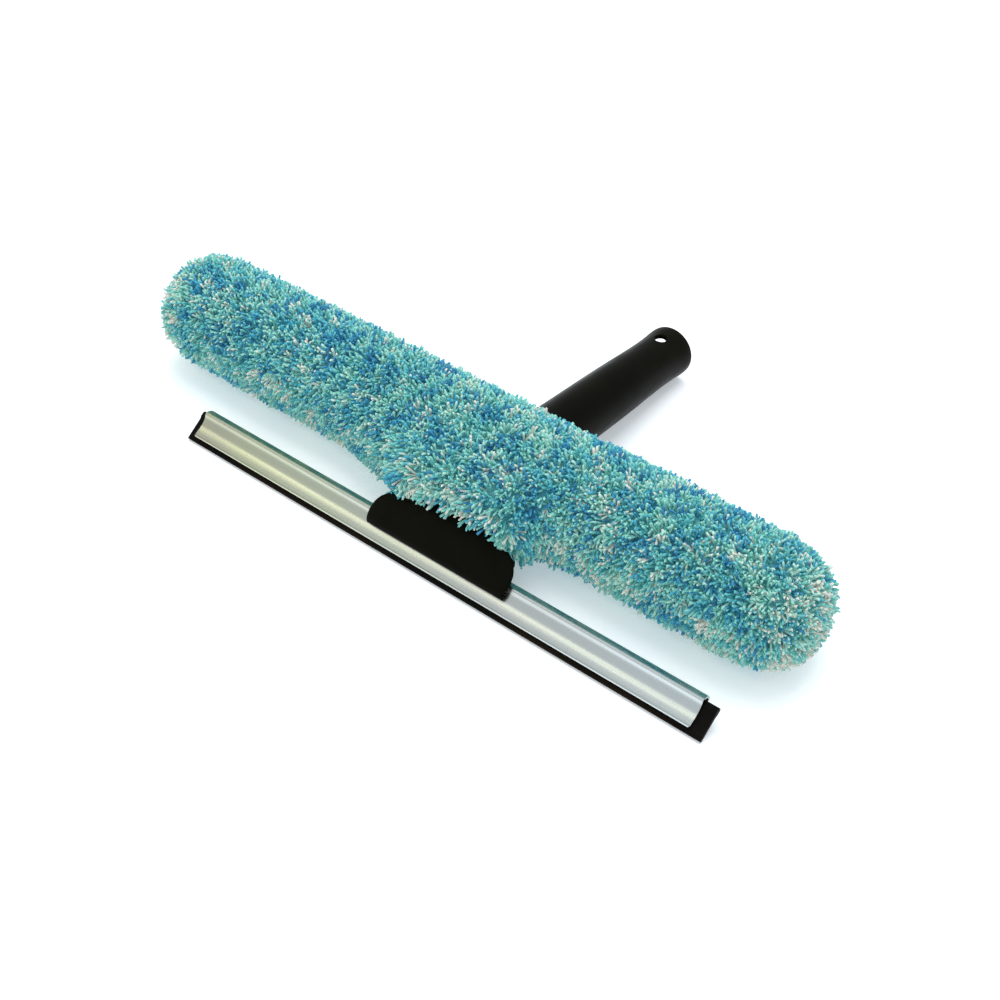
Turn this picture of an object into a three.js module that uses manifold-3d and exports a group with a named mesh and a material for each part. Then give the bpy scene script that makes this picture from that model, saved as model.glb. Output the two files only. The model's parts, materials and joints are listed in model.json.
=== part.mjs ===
// Window cleaning tool with two working sides: a microfibre washer sleeve on a cross bar, and a
// squeegee clamped to the front of the same head.
//
// Millimetres. X runs along the bar, +Y points from the head to the butt of the handle, +Z is up.
// The tool lies as it does when it is put down: on the sleeve, the edge of the blade and the rim of
// the handle. The origin is on the table, under the middle of the whole tool.

import * as THREE from 'three';
import { mergeVertices } from 'three/addons/utils/BufferGeometryUtils.js';
import Module from 'manifold-3d';

const wasm = await Module();
wasm.setup();

const DEG = Math.PI / 180;
const GAP = 0.3; // space kept between pieces that touch

// ---- Driving dimensions -------------------------------------------------------------------

// Cross bar: a moulded tube through the hub, closed by two caps.
const BAR = { height: 31.8, half: 172, radius: 19, wall: 2.4, cap: 5.5, plug: 8 };

// Washer sleeve. It sits off centre: its right end is against the end of the bar.
const SLEEVE = { left: -254, right: 193.5, radius: 34, leftRound: 30, rightRound: 45 };
const BACKING = { radius: 22.4, overHub: 25.2, wall: 1.1, left: -242.5, right: 182, hubHalf: 38, blend: 24 };
// The pile bulges forwards and down where the neck of the head comes through it.
const BULGE = { reach: 12, middle: -19, half: 88, flat: 40, direction: 200 * DEG, spread: 150 * DEG };
const TAPE = { from: 66, to: 166, halfAngle: 22 * DEG, thick: 0.9 };
// The front window is wide where the back of the shoe reaches in, and narrow round the neck.
const SLIT = { half: 31, mouth: 42, mouthDeep: 38, binding: 4, clearAbove: 0.4, clearBelow: 9, deep: 69 };

// Squeegee. Its own frame has y across the blade from the working edge, and z up from the middle
// of the rubber; the frame is tilted so that the working edge meets the table.
const TILT = 33.3 * DEG;
const BLADE = { length: 350, shift: -5.5, front: -71, thick: 2, lip: 13.2, width: 18.4, bead: 3.4 };
const CHANNEL = { left: -176, right: 162, front: 2.8, back: 20.9, bottom: -2.6, wall: 1.2 };

// Head: hub round the bar, neck and shoe over the channel, spigot into the handle.
const HUB = { radius: 23, half: 34 };
const SHOE = { swell: 46.8, front: 10.2, top: 10.4, shoulder: 3.2, bottom: -2.6, rim: 6.4, foot: 0.9 };
const SPIGOT = { radius: 11.4, end: 58.5 };
const JAW = { half: 38, front: 11.5, back: 34, top: -2.95, thick: 2.6, corner: 8 };
const CLAMP_SCREW = { x: 24, y: 29, shank: 1.9, hole: 2.3, head: 3.5, headHeight: 2, tip: 5 };
const NUT = { half: 3.5, bottom: 0.4, top: 3.4 };

// Handle: a hollow tapered grip. Distances run along its axis from the axis of the bar.
const PITCH = 6.07 * DEG;
const GRIP = {
  start: 23.7, end: 157.7, collar: 17.2, nearHead: 16.6, middle: 16.2, waist: 14.95, flare: 15.55, rim: 14.7,
  mouthBore: 12.6, deepBore: 11, boreEnd: 64, bulkhead: 60, frontBore: 11.8, hole: 3.7, holeAt: 143.2,
};
const TAPPING_SCREW = { shank: 1.5, hole: 1.9, head: 3.2, recess: 3.6, headHeight: 1.7, gripAt: 42 };

// ---- Frames -------------------------------------------------------------------------------

const BAR_FRAME = new THREE.Matrix4().makeTranslation(0, 0, BAR.height);
const GRIP_FRAME = new THREE.Matrix4().makeRotationX(-PITCH).setPosition(0, 0, BAR.height);
const BLADE_FRAME = new THREE.Matrix4()
  .makeRotationX(TILT)
  .setPosition(0, BLADE.front, (BLADE.thick / 2) * Math.cos(TILT));
const HUB_IN_BLADE = new THREE.Vector3(0, 0, BAR.height).applyMatrix4(BLADE_FRAME.clone().invert());

// ---- Finishes -----------------------------------------------------------------------------

const finish = (color, roughness, metalness = 0) =>
  new THREE.MeshStandardMaterial({ color, roughness, metalness });
const FINISH = {
  grip: finish(0x161612, 0.42),
  moulding: finish(0x181812, 0.5),
  inner: finish(0x2a2c2e, 0.6),
  steel: finish(0xb9bcc0, 0.3, 1),
  brass: finish(0xb59a58, 0.35, 1),
  aluminium: finish(0xc4cbc2, 0.32, 1),
  rubber: finish(0x262019, 0.62),
  pile: finish(0x59a9bd, 0.95),
  backing: finish(0xd7dde0, 0.9),
  binding: finish(0x2c6f9a, 0.85),
  hook: finish(0x1d2226, 0.8),
  loop: finish(0xe4e6e4, 0.95),
};

// ---- Tools --------------------------------------------------------------------------------

// A closed geometry as a solid that can be joined and cut.
function solid(geometry, frame = new THREE.Matrix4()) {
  const bare = geometry.clone().applyMatrix4(frame);
  bare.deleteAttribute('normal');
  bare.deleteAttribute('uv');
  const merged = mergeVertices(bare, 1e-4);
  const mesh = new wasm.Mesh({
    numProp: 3,
    vertProperties: new Float32Array(merged.attributes.position.array),
    triVerts: new Uint32Array(merged.index.array),
  });
  mesh.merge();
  return new wasm.Manifold(mesh);
}

// A named mesh of a solid or a geometry.
function piece(name, shape, material) {
  if (shape.isBufferGeometry) return named(name, shape, material);
  const mesh = shape.getMesh();
  const geometry = new THREE.BufferGeometry();
  geometry.setAttribute('position', new THREE.BufferAttribute(mesh.vertProperties, 3));
  geometry.setIndex(new THREE.BufferAttribute(mesh.triVerts, 1));
  geometry.computeVertexNormals();
  return named(name, geometry, material);
}

function named(name, geometry, material) {
  const mesh = new THREE.Mesh(geometry, material);
  mesh.name = name;
  return mesh;
}

const shapeOf = (points) => new THREE.Shape(points.map(([x, y]) => new THREE.Vector2(x, y)));

// A section in Y and Z, drawn out along X.
const ALONG_X = new THREE.Matrix4().makeBasis(
  new THREE.Vector3(0, 1, 0), new THREE.Vector3(0, 0, 1), new THREE.Vector3(1, 0, 0),
);
function bar(shape, from, to, curveSegments = 8) {
  const geometry = new THREE.ExtrudeGeometry(shape, { depth: to - from, bevelEnabled: false, curveSegments });
  return geometry.applyMatrix4(ALONG_X).translate(from, 0, 0);
}

// An outline in X and Y, drawn up along Z.
function plate(shape, from, to, curveSegments = 8) {
  const geometry = new THREE.ExtrudeGeometry(shape, { depth: to - from, bevelEnabled: false, curveSegments });
  return geometry.translate(0, 0, from);
}

// An outline in X and Y, drawn up through levels of [height, share of its width].
function drafted(shape, levels, curveSegments) {
  const steps = levels.length - 1;
  const geometry = new THREE.ExtrudeGeometry(shape, { depth: steps, steps, bevelEnabled: false, curveSegments });
  const corners = geometry.attributes.position;
  for (let i = 0; i < corners.count; i += 1) {
    const [height, share] = levels[Math.round(corners.getZ(i))];
    corners.setX(i, corners.getX(i) * share);
    corners.setZ(i, height);
  }
  return geometry;
}

// A profile of [radius, distance along the axis] turned round the Y axis, or round X or Z.
function turned(profile, segments = 32) {
  return new THREE.LatheGeometry(profile.map(([r, y]) => new THREE.Vector2(r, y)), segments);
}
const turnedX = (profile, segments) => turned(profile, segments).rotateZ(-Math.PI / 2);
const turnedZ = (profile, segments) => turned(profile, segments).rotateX(Math.PI / 2);

const rod = (radius, from, to) => [[0, from], [radius, from], [radius, to], [0, to]];

// A pan head at the bottom and a shank that points up the axis.
function screwProfile({ shank, head, headHeight }, length) {
  return [[0, -headHeight], [head * 0.7, -headHeight], [head, -headHeight * 0.45], [head, 0], [shank, 0],
    [shank, length - shank], [shank * 0.45, length], [0, length]];
}

const smooth = (t) => {
  const s = THREE.MathUtils.clamp(t, 0, 1);
  return s * s * (3 - 2 * s);
};

// ---- Washer sleeve ------------------------------------------------------------------------

// Outer radius of the pile along X, rounded at both ends.
function pileRadius(x) {
  const fromLeft = Math.min((x - SLEEVE.left) / SLEEVE.leftRound, 1);
  const fromRight = Math.min((SLEEVE.right - x) / SLEEVE.rightRound, 1);
  const nearest = Math.max(Math.min(fromLeft, fromRight), 0);
  return SLEEVE.radius * Math.sqrt(1 - (1 - nearest) ** 2);
}

// Stations along the sleeve: close together on the rounded ends and even between them.
function pileProfile() {
  const endSteps = 5;
  const bodySteps = 24;
  const profile = [];
  for (let i = 0; i <= endSteps; i += 1) {
    const x = SLEEVE.left + SLEEVE.leftRound * (1 - Math.cos((i / endSteps) * (Math.PI / 2)));
    profile.push([pileRadius(x), x]);
  }
  const bodyFrom = SLEEVE.left + SLEEVE.leftRound;
  const bodyTo = SLEEVE.right - SLEEVE.rightRound;
  for (let i = 1; i < bodySteps; i += 1) {
    const x = bodyFrom + ((bodyTo - bodyFrom) * i) / bodySteps;
    profile.push([SLEEVE.radius, x]);
  }
  for (let i = endSteps; i >= 0; i -= 1) {
    const x = SLEEVE.right - SLEEVE.rightRound * (1 - Math.cos((i / endSteps) * (Math.PI / 2)));
    profile.push([pileRadius(x), x]);
  }
  return profile;
}

// How far the pile stands out at a place: most at the neck, nothing on the arms or the top.
function bulgeAt(x, angle) {
  const along = smooth((BULGE.half - Math.abs(x - BULGE.middle)) / (BULGE.half - BULGE.flat));
  const turn = Math.atan2(Math.sin(angle - BULGE.direction), Math.cos(angle - BULGE.direction));
  const round = Math.max(Math.cos((turn * Math.PI) / BULGE.spread), 0);
  return Math.abs(turn) < BULGE.spread / 2 ? BULGE.reach * along * round : 0;
}

function pileSkin() {
  const geometry = turnedX(pileProfile(), 32);
  const place = geometry.attributes.position;
  for (let i = 0; i < place.count; i += 1) {
    const y = place.getY(i);
    const z = place.getZ(i);
    const radius = Math.hypot(y, z);
    if (radius > 1) {
      const grow = 1 + bulgeAt(place.getX(i), Math.atan2(z, y)) / radius;
      place.setY(i, y * grow);
      place.setZ(i, z * grow);
    }
  }
  return solid(geometry, BAR_FRAME);
}

// The woven backing: a sock that is wider over the hub and closes in at both ends.
function backingProfile(offset) {
  const arm = BACKING.radius + offset;
  const hub = BACKING.overHub + offset;
  const from = BACKING.hubHalf;
  const to = BACKING.hubHalf + BACKING.blend;
  return [
    [arm - 8, BACKING.left - offset], [arm - 1.5, BACKING.left + 4 - offset], [arm, BACKING.left + 12],
    [arm, -to], [hub, -from], [hub, from], [arm, to],
    [arm, BACKING.right - 20], [arm - 2, BACKING.right - 8 + offset / 2], [arm - 8, BACKING.right + offset],
  ];
}

// A closed body with the profile's outer side, for use as a cutter.
function backingCore(offset) {
  const profile = backingProfile(offset);
  const first = profile[0][1];
  const last = profile[profile.length - 1][1];
  return solid(turnedX([[0, first], ...profile, [0, last]], 32), BAR_FRAME);
}

// The backing is a tube with open ends, which two sewn discs close.
function backingTube(inner, outer) {
  const outside = backingProfile(outer);
  const inside = backingProfile(inner).map(([r, x], i, all) => {
    const last = i === 0 || i === all.length - 1;
    return [r, last ? outside[i][1] : x];
  });
  const closed = [...outside, ...inside.reverse(), outside[0]];
  return solid(turnedX(closed, 32), BAR_FRAME);
}

// The window in the front of the sleeve that the neck comes through, in the squeegee's frame.
function frontWindow(grow) {
  const neck = SLIT.half + grow;
  const mouth = SLIT.mouth + grow;
  const deep = SLIT.deep + grow / 2;
  const bend = SLIT.mouthDeep;
  const plan = shapeOf([[-mouth, 0], [mouth, 0], [mouth, bend], [neck, bend + 4], [neck, deep], [-neck, deep],
    [-neck, bend + 4], [-mouth, bend]]);
  const low = SHOE.bottom - SLIT.clearBelow - grow;
  const high = SHOE.top + SLIT.clearAbove + grow;
  return solid(plate(plan, low, high), BLADE_FRAME);
}

// The round window in the back of the sleeve that the handle comes through.
const rearWindow = (radius) => solid(turned(rod(radius, 12, 60), 32), GRIP_FRAME);

function sleevePieces() {
  const table = solid(new THREE.BoxGeometry(600, 400, 100).translate(0, 0, 50));
  const pile = pileSkin()
    .intersect(table)
    .subtract(backingCore(BACKING.wall + GAP))
    .subtract(frontWindow(0))
    .subtract(rearWindow(GRIP.collar + GAP));

  const rearHole = GRIP.collar + GAP;
  const backing = backingTube(0, BACKING.wall)
    .subtract(frontWindow(SLIT.binding))
    .subtract(rearWindow(rearHole + SLIT.binding));

  const tapeWall = backingTube(-0.35, BACKING.wall);
  const frontBinding = tapeWall.intersect(frontWindow(SLIT.binding - GAP)).subtract(frontWindow(0));
  const rearBinding = tapeWall.intersect(rearWindow(rearHole + SLIT.binding - GAP)).subtract(rearWindow(rearHole));

  const disc = (from, to, radius) => solid(turnedX(rod(radius, from, to), 24), BAR_FRAME);
  const discRadius = BACKING.radius - 8 - GAP;
  const pieces = [
    piece('sleeve_pile', pile, FINISH.pile),
    piece('sleeve_backing', backing, FINISH.backing),
    piece('slit_binding_front', frontBinding, FINISH.binding),
    piece('slit_binding_rear', rearBinding, FINISH.binding),
    piece('sleeve_end_left', disc(BACKING.left - BACKING.wall, BACKING.left, discRadius), FINISH.backing),
    piece('sleeve_end_right', disc(BACKING.right, BACKING.right + BACKING.wall, discRadius), FINISH.backing),
  ];

  const loopAt = BAR.radius + 0.5;
  const hookAt = loopAt + TAPE.thick + GAP;
  for (const [side, sign] of [['left', -1], ['right', 1]]) {
    pieces.push(piece(`loop_tape_${side}`, tape(loopAt, sign), FINISH.loop));
    pieces.push(piece(`hook_tape_${side}`, tape(hookAt, sign), FINISH.hook));
  }
  return pieces;
}

// A strip of hook or loop tape that follows the underside of the bar.
function tape(radius, sign) {
  const section = new THREE.Shape();
  const from = -Math.PI / 2 - TAPE.halfAngle;
  const to = -Math.PI / 2 + TAPE.halfAngle;
  section.absarc(0, 0, radius + TAPE.thick, from, to, false);
  section.absarc(0, 0, radius, to, from, true);
  const near = sign > 0 ? TAPE.from : -TAPE.to;
  return solid(bar(section, near, near + TAPE.to - TAPE.from, 8), BAR_FRAME);
}

// ---- Cross bar ----------------------------------------------------------------------------

function barPieces() {
  const inner = BAR.radius - BAR.wall;
  const tube = turnedX([
    [inner, -BAR.half], [BAR.radius, -BAR.half], [BAR.radius, BAR.half], [inner, BAR.half], [inner, -BAR.half],
  ], 28);
  let body = solid(tube);

  // Long round-ended slots let water run between the sleeve and the hollow of the bar.
  const slot = new THREE.Shape();
  slot.absarc(7, 0, 4.5, -Math.PI / 2, Math.PI / 2, false);
  slot.absarc(-7, 0, 4.5, Math.PI / 2, Math.PI * 1.5, false);
  const slotThrough = plate(slot, -30, 30, 5);
  for (const x of [-146, -114, -82, 82, 114, 146]) {
    body = body.subtract(solid(slotThrough.clone().translate(x, 0, 0)));
  }
  for (const x of [-130, -98, 98, 130]) {
    body = body.subtract(solid(slotThrough.clone().rotateX(Math.PI / 2).translate(x, 0, 0)));
  }
  const lockHole = turnedZ(rod(TAPPING_SCREW.hole, -30, 0), 12);
  body = body.subtract(solid(lockHole));
  const pieces = [piece('cross_bar', body, FINISH.inner)];

  // Push-in caps: a plug inside the tube, a flange and a rounded nose.
  const cap = [[0, -BAR.plug], [inner - GAP, -BAR.plug], [inner - GAP, GAP], [BAR.radius, GAP],
    [BAR.radius, 1.6], [BAR.radius - 1.4, 3.6], [BAR.radius - 5, BAR.cap - 0.4], [0, BAR.cap]];
  const rightCap = turnedX(cap, 24).translate(BAR.half, 0, 0);
  pieces.push(piece('bar_cap_right', rightCap, FINISH.moulding));
  pieces.push(piece('bar_cap_left', rightCap.clone().rotateZ(Math.PI), FINISH.moulding));

  // Locks the bar in the hub from below.
  const lock = turnedZ(screwProfile(TAPPING_SCREW, 6.5), 12).translate(0, 0, -HUB.radius + TAPPING_SCREW.headHeight);
  pieces.push(piece('bar_lock_screw', lock, FINISH.steel));
  return pieces;
}

// ---- Squeegee -----------------------------------------------------------------------------

function rubberSection() {
  const half = BLADE.thick / 2;
  const bead = BLADE.bead / 2;
  return shapeOf([
    [0, -half], [BLADE.lip, -half], [BLADE.lip + 2, -bead], [BLADE.width - 1, -bead], [BLADE.width, -bead + 1],
    [BLADE.width, bead - 1], [BLADE.width - 1, bead], [BLADE.lip + 2, bead], [BLADE.lip, half], [0, half],
  ]);
}

// The channel's face: a rolled lip, a fine groove, a shallow cove, a raised crest and a back slope.
function channelTop() {
  const { front, back } = CHANNEL;
  return [
    [front, 1.9], [front + 0.25, 2.6], [front + 0.8, 2.95], [front + 1.4, 2.75], [front + 1.9, 2.6],
    [6.4, 2.45], [8.2, 2.27], [10, 2.2], [12, 2.4], [14, 2.95], [15.6, 3.75], [16.8, 4.6], [17.6, 4.85],
    [18.4, 4.6], [19.4, 3.5], [20.4, 2], [back, 0.9],
  ];
}

// The hollow holds the rubber between two lips and leaves room for its bead under the crest.
function channelSection() {
  const { front, back, bottom, wall } = CHANNEL;
  const grip = BLADE.thick / 2 + GAP;
  const floor = bottom + wall - 0.6;
  return shapeOf([
    [front, grip], ...channelTop(), [back, bottom + 1], [back - 1, bottom], [front + 0.6, bottom],
    [front, bottom + 0.6], [front, -grip], [front + 2.6, -grip], [front + 2.6, floor], [back - wall, floor],
    [back - wall, 1.2], [18.5, 3.2], [17.6, 3.7], [16.6, 3.35], [15.3, 2.5], [13.8, 1.8], [12, grip + 0.05],
    [10, grip],
  ]);
}

function squeegeePieces() {
  const bladeFrom = BLADE.shift - BLADE.length / 2;
  return [
    piece('rubber_blade', bar(rubberSection(), bladeFrom, bladeFrom + BLADE.length), FINISH.rubber),
    piece('blade_channel', bar(channelSection(), CHANNEL.left, CHANNEL.right), FINISH.aluminium),
  ];
}

// ---- Head ---------------------------------------------------------------------------------

// Side view of neck and shoe in the squeegee's frame; the back end lies inside the hub.
function neckProfile() {
  const { front, top, bottom } = SHOE;
  const hub = HUB_IN_BLADE;
  return shapeOf([
    [front, bottom], [front, top - 2.6], [front + 0.5, top - 1.5], [front + 1.8, top - 0.8],
    [front + 5, top - 0.2], [front + 10, top], [34, top], [hub.y, hub.z + HUB.radius - 0.4], [hub.y, hub.z],
    [hub.y - 20.5, hub.z + 1], [40, bottom - 0.4], [38, bottom],
  ]);
}

// Plan view: a straight front edge with sharp corners, sides that swell and then round in to the neck.
function neckOutline() {
  const side = [
    [45.4, SHOE.front], [46.2, 13.5], [SHOE.swell, 17], [SHOE.swell, 20], [46.3, 23], [44.8, 26], [43, 28],
    [40.6, 30], [37.2, 32], [33.2, 34], [29.6, 36], [27.2, 38], [26, 40.5], [26, HUB_IN_BLADE.y],
  ];
  const mirrored = side.map(([x, y]) => [-x, y]).reverse();
  return shapeOf([...side, ...mirrored]);
}

// Front view: the top of the shoe is crowned and rolls over at both ends.
function neckCrown() {
  const { swell, top, shoulder } = SHOE;
  const low = HUB_IN_BLADE.z - HUB.radius;
  const wide = swell + 1;
  const crown = new THREE.Shape();
  crown.moveTo(-wide, low);
  crown.lineTo(wide, low);
  crown.lineTo(wide, top - shoulder - 1.4);
  crown.quadraticCurveTo(wide - 0.8, top - 1.6, wide - shoulder - 3, top - 0.9);
  crown.quadraticCurveTo(0, top + 0.9, -wide + shoulder + 3, top - 0.9);
  crown.quadraticCurveTo(-wide + 0.8, top - 1.6, -wide, top - shoulder - 1.4);
  return crown;
}

function headHub() {
  const side = solid(bar(neckProfile(), -60, 60), BLADE_FRAME);
  // The side walls draw in below the rim, so that the shoe leaves its mould.
  const draft = [[-60, SHOE.foot], [SHOE.bottom, SHOE.foot], [SHOE.rim, 1], [30, 1]];
  const plan = solid(drafted(neckOutline(), draft, 6), BLADE_FRAME);
  const crown = solid(plate(neckCrown(), -90, 10, 6).rotateX(Math.PI / 2), BLADE_FRAME);
  const saddle = solid(turnedX(rod(HUB.radius, -HUB.half, HUB.half), 40), BAR_FRAME);
  const spigot = solid(turned(rod(SPIGOT.radius, 10, SPIGOT.end), 28), GRIP_FRAME);

  // Seat of the channel: open to the front and below, shaped to the channel's face.
  const seat = [[-5, -8], [CHANNEL.back + GAP, -8], [CHANNEL.back + GAP, 1.2], [20.7, 2.2], [19.7, 3.75],
    [18.65, 4.95], [17.7, 5.2], [16.6, 4.95], [15.35, 4.1], [13.85, 3.3], [11.95, 2.75], [10, 2.55], [-5, 2.55]];
  const cutters = [
    solid(bar(shapeOf(seat), -60, 60), BLADE_FRAME),
    solid(turnedX(rod(BAR.radius + GAP, -60, 60), 40), BAR_FRAME),
    solid(turnedZ(rod(TAPPING_SCREW.hole, -30, 0), 12), BAR_FRAME),
    solid(turnedZ(rod(TAPPING_SCREW.recess, -30, -HUB.radius + TAPPING_SCREW.headHeight), 16), BAR_FRAME),
    solid(turnedZ(rod(TAPPING_SCREW.hole, -30, -4), 12).translate(0, TAPPING_SCREW.gripAt, 0), GRIP_FRAME),
  ];
  for (const sign of [-1, 1]) {
    const x = sign * CLAMP_SCREW.x;
    const hole = turnedZ(rod(CLAMP_SCREW.hole, -20, CLAMP_SCREW.tip + 0.6), 14).translate(x, CLAMP_SCREW.y, 0);
    const pocket = shapeOf([[CHANNEL.back - 1, NUT.bottom - GAP], [CLAMP_SCREW.y + NUT.half + GAP, NUT.bottom - GAP],
      [CLAMP_SCREW.y + NUT.half + GAP, NUT.top + GAP], [CHANNEL.back - 1, NUT.top + GAP]]);
    const reach = NUT.half + GAP;
    cutters.push(solid(hole, BLADE_FRAME), solid(bar(pocket, x - reach, x + reach), BLADE_FRAME));
  }
  const body = side.intersect(plan).intersect(crown).add(saddle).add(spigot);
  return cutters.reduce((rest, cutter) => rest.subtract(cutter), body);
}

// The lower jaw, its screws and its nuts, in the squeegee's frame.
function clampPieces() {
  const { half, front, back, top, thick, corner } = JAW;
  const outline = new THREE.Shape();
  outline.moveTo(-half, front);
  outline.lineTo(half, front);
  outline.lineTo(half, back - corner);
  outline.quadraticCurveTo(half, back, half - corner, back);
  outline.lineTo(-half + corner, back);
  outline.quadraticCurveTo(-half, back, -half, back - corner);
  const under = top - thick - GAP;
  const hardware = [];
  let jaw = solid(plate(outline, top - thick, top, 4));
  for (const [side, sign] of [['left', -1], ['right', 1]]) {
    const x = sign * CLAMP_SCREW.x;
    const y = CLAMP_SCREW.y;
    jaw = jaw.subtract(solid(turnedZ(rod(CLAMP_SCREW.hole, -20, 0), 14).translate(x, y, 0)));
    const screw = turnedZ(screwProfile(CLAMP_SCREW, CLAMP_SCREW.tip - under), 14).translate(x, y, under);
    const block = new THREE.BoxGeometry(2 * NUT.half, 2 * NUT.half, NUT.top - NUT.bottom);
    const nut = solid(block.translate(x, y, (NUT.top + NUT.bottom) / 2))
      .subtract(solid(turnedZ(rod(CLAMP_SCREW.shank + GAP, -20, 20), 14).translate(x, y, 0)));
    hardware.push(piece(`jaw_screw_${side}`, screw, FINISH.steel), piece(`jaw_nut_${side}`, nut, FINISH.brass));
  }
  return [piece('lower_jaw', jaw, FINISH.moulding), ...hardware];
}

// ---- Handle -------------------------------------------------------------------------------

function gripPieces() {
  const g = GRIP;
  const blank = turned([
    [0, g.start], ...profileOuter(g), [0, g.end],
  ], 36);
  const screwAt = TAPPING_SCREW.gripAt;
  const headSeat = g.nearHead - TAPPING_SCREW.headHeight - 0.6;
  const tapered = [[0, g.boreEnd], [g.deepBore, g.boreEnd], [g.mouthBore, g.end - 1.2], [g.mouthBore + 0.3, g.end],
    [g.mouthBore + 0.3, g.end + 5], [0, g.end + 5]];
  const cutters = [
    turned(rod(g.frontBore, 0, g.bulkhead), 32),
    turned(tapered, 32),
    turnedZ(rod(g.hole, -30, 30), 20).translate(0, g.holeAt, 0),
    turnedZ(rod(TAPPING_SCREW.hole, -30, -8), 12).translate(0, screwAt, 0),
    turnedZ(rod(TAPPING_SCREW.recess, -30, -headSeat), 16).translate(0, screwAt, 0),
  ];
  const grip = cutters.reduce((rest, cutter) => rest.subtract(solid(cutter)), solid(blank));
  const screw = turnedZ(screwProfile(TAPPING_SCREW, 9), 12).translate(0, screwAt, -headSeat - GAP);
  return [piece('handle_grip', grip, FINISH.grip), piece('handle_screw', screw, FINISH.steel)];
}

// Outside of the grip: collar at the head, long taper to a waist, then a flare with a rounded rim.
function profileOuter(g) {
  return [
    [g.collar - 0.8, g.start], [g.collar, g.start + 1], [g.collar, g.start + 4], [g.nearHead, 42],
    [g.middle, 77], [(g.middle + g.waist) / 2, 108], [g.waist, 130], [g.waist + 0.05, 138], [g.flare, 147],
    [g.flare, 153], [g.flare - 0.35, g.end - 1], [g.rim, g.end],
  ];
}

// ---- Assembly -----------------------------------------------------------------------------

function framed(frame, pieces) {
  const group = new THREE.Group();
  group.applyMatrix4(frame);
  group.add(...pieces);
  return group;
}

const backReach = GRIP.end * Math.cos(PITCH) + GRIP.rim * Math.sin(PITCH);
const frontReach = BLADE.front - (BLADE.thick / 2) * Math.sin(TILT);

const tool = new THREE.Group();
tool.position.set(-(SLEEVE.left + SLEEVE.right) / 2, -(backReach + frontReach) / 2, 0);
tool.add(
  ...sleevePieces(),
  piece('head_hub', headHub(), FINISH.moulding),
  framed(BAR_FRAME, barPieces()),
  framed(GRIP_FRAME, gripPieces()),
  framed(BLADE_FRAME, [...squeegeePieces(), ...clampPieces()]),
);

const assembly = new THREE.Group();
assembly.add(tool);
export default assembly;
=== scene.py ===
"""Looks of a window cleaning tool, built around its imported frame.

The tool is a microfibre washer sleeve on a cross bar, with an aluminium squeegee clamped to the
front of its head and a hollow handle behind. All lengths are metres unless a name ends in _mm.
"""

import json
import logging
import math
from dataclasses import dataclass
from enum import Enum
from typing import Any, Callable, Iterable, Sequence

import bmesh
import bpy
import numpy as np
from mathutils import Matrix, Vector

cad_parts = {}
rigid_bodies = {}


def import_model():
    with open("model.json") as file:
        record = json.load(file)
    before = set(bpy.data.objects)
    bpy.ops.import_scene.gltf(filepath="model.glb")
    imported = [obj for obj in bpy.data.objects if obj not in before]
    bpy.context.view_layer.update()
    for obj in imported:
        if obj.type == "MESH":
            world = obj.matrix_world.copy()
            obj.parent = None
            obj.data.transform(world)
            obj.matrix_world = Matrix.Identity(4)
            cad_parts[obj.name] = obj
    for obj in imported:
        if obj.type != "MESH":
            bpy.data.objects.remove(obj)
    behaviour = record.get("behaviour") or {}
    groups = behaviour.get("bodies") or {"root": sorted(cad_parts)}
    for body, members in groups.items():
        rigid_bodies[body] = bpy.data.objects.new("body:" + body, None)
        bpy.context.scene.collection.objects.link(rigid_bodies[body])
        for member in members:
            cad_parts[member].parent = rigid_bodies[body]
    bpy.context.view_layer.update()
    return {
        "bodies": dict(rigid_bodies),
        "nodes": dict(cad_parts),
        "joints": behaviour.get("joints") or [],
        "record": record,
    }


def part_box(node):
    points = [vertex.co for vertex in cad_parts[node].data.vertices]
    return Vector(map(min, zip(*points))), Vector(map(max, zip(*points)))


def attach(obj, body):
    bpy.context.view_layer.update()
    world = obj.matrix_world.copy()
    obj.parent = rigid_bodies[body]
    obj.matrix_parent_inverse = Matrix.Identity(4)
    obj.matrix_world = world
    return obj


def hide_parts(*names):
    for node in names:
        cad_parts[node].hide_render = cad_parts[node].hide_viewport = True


LOG = logging.getLogger("window_washer")
MM = 0.001
JAW_SCREW_SIDE_MM = 24.0
JAW_SCREW_AT_MM = 29.0
HANDLE_SCREW_AT_MM = 42.0
Point2 = tuple[float, float]
Colour = tuple[float, float, float]


# ---- Places taken from the frame --------------------------------------------------------------


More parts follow.
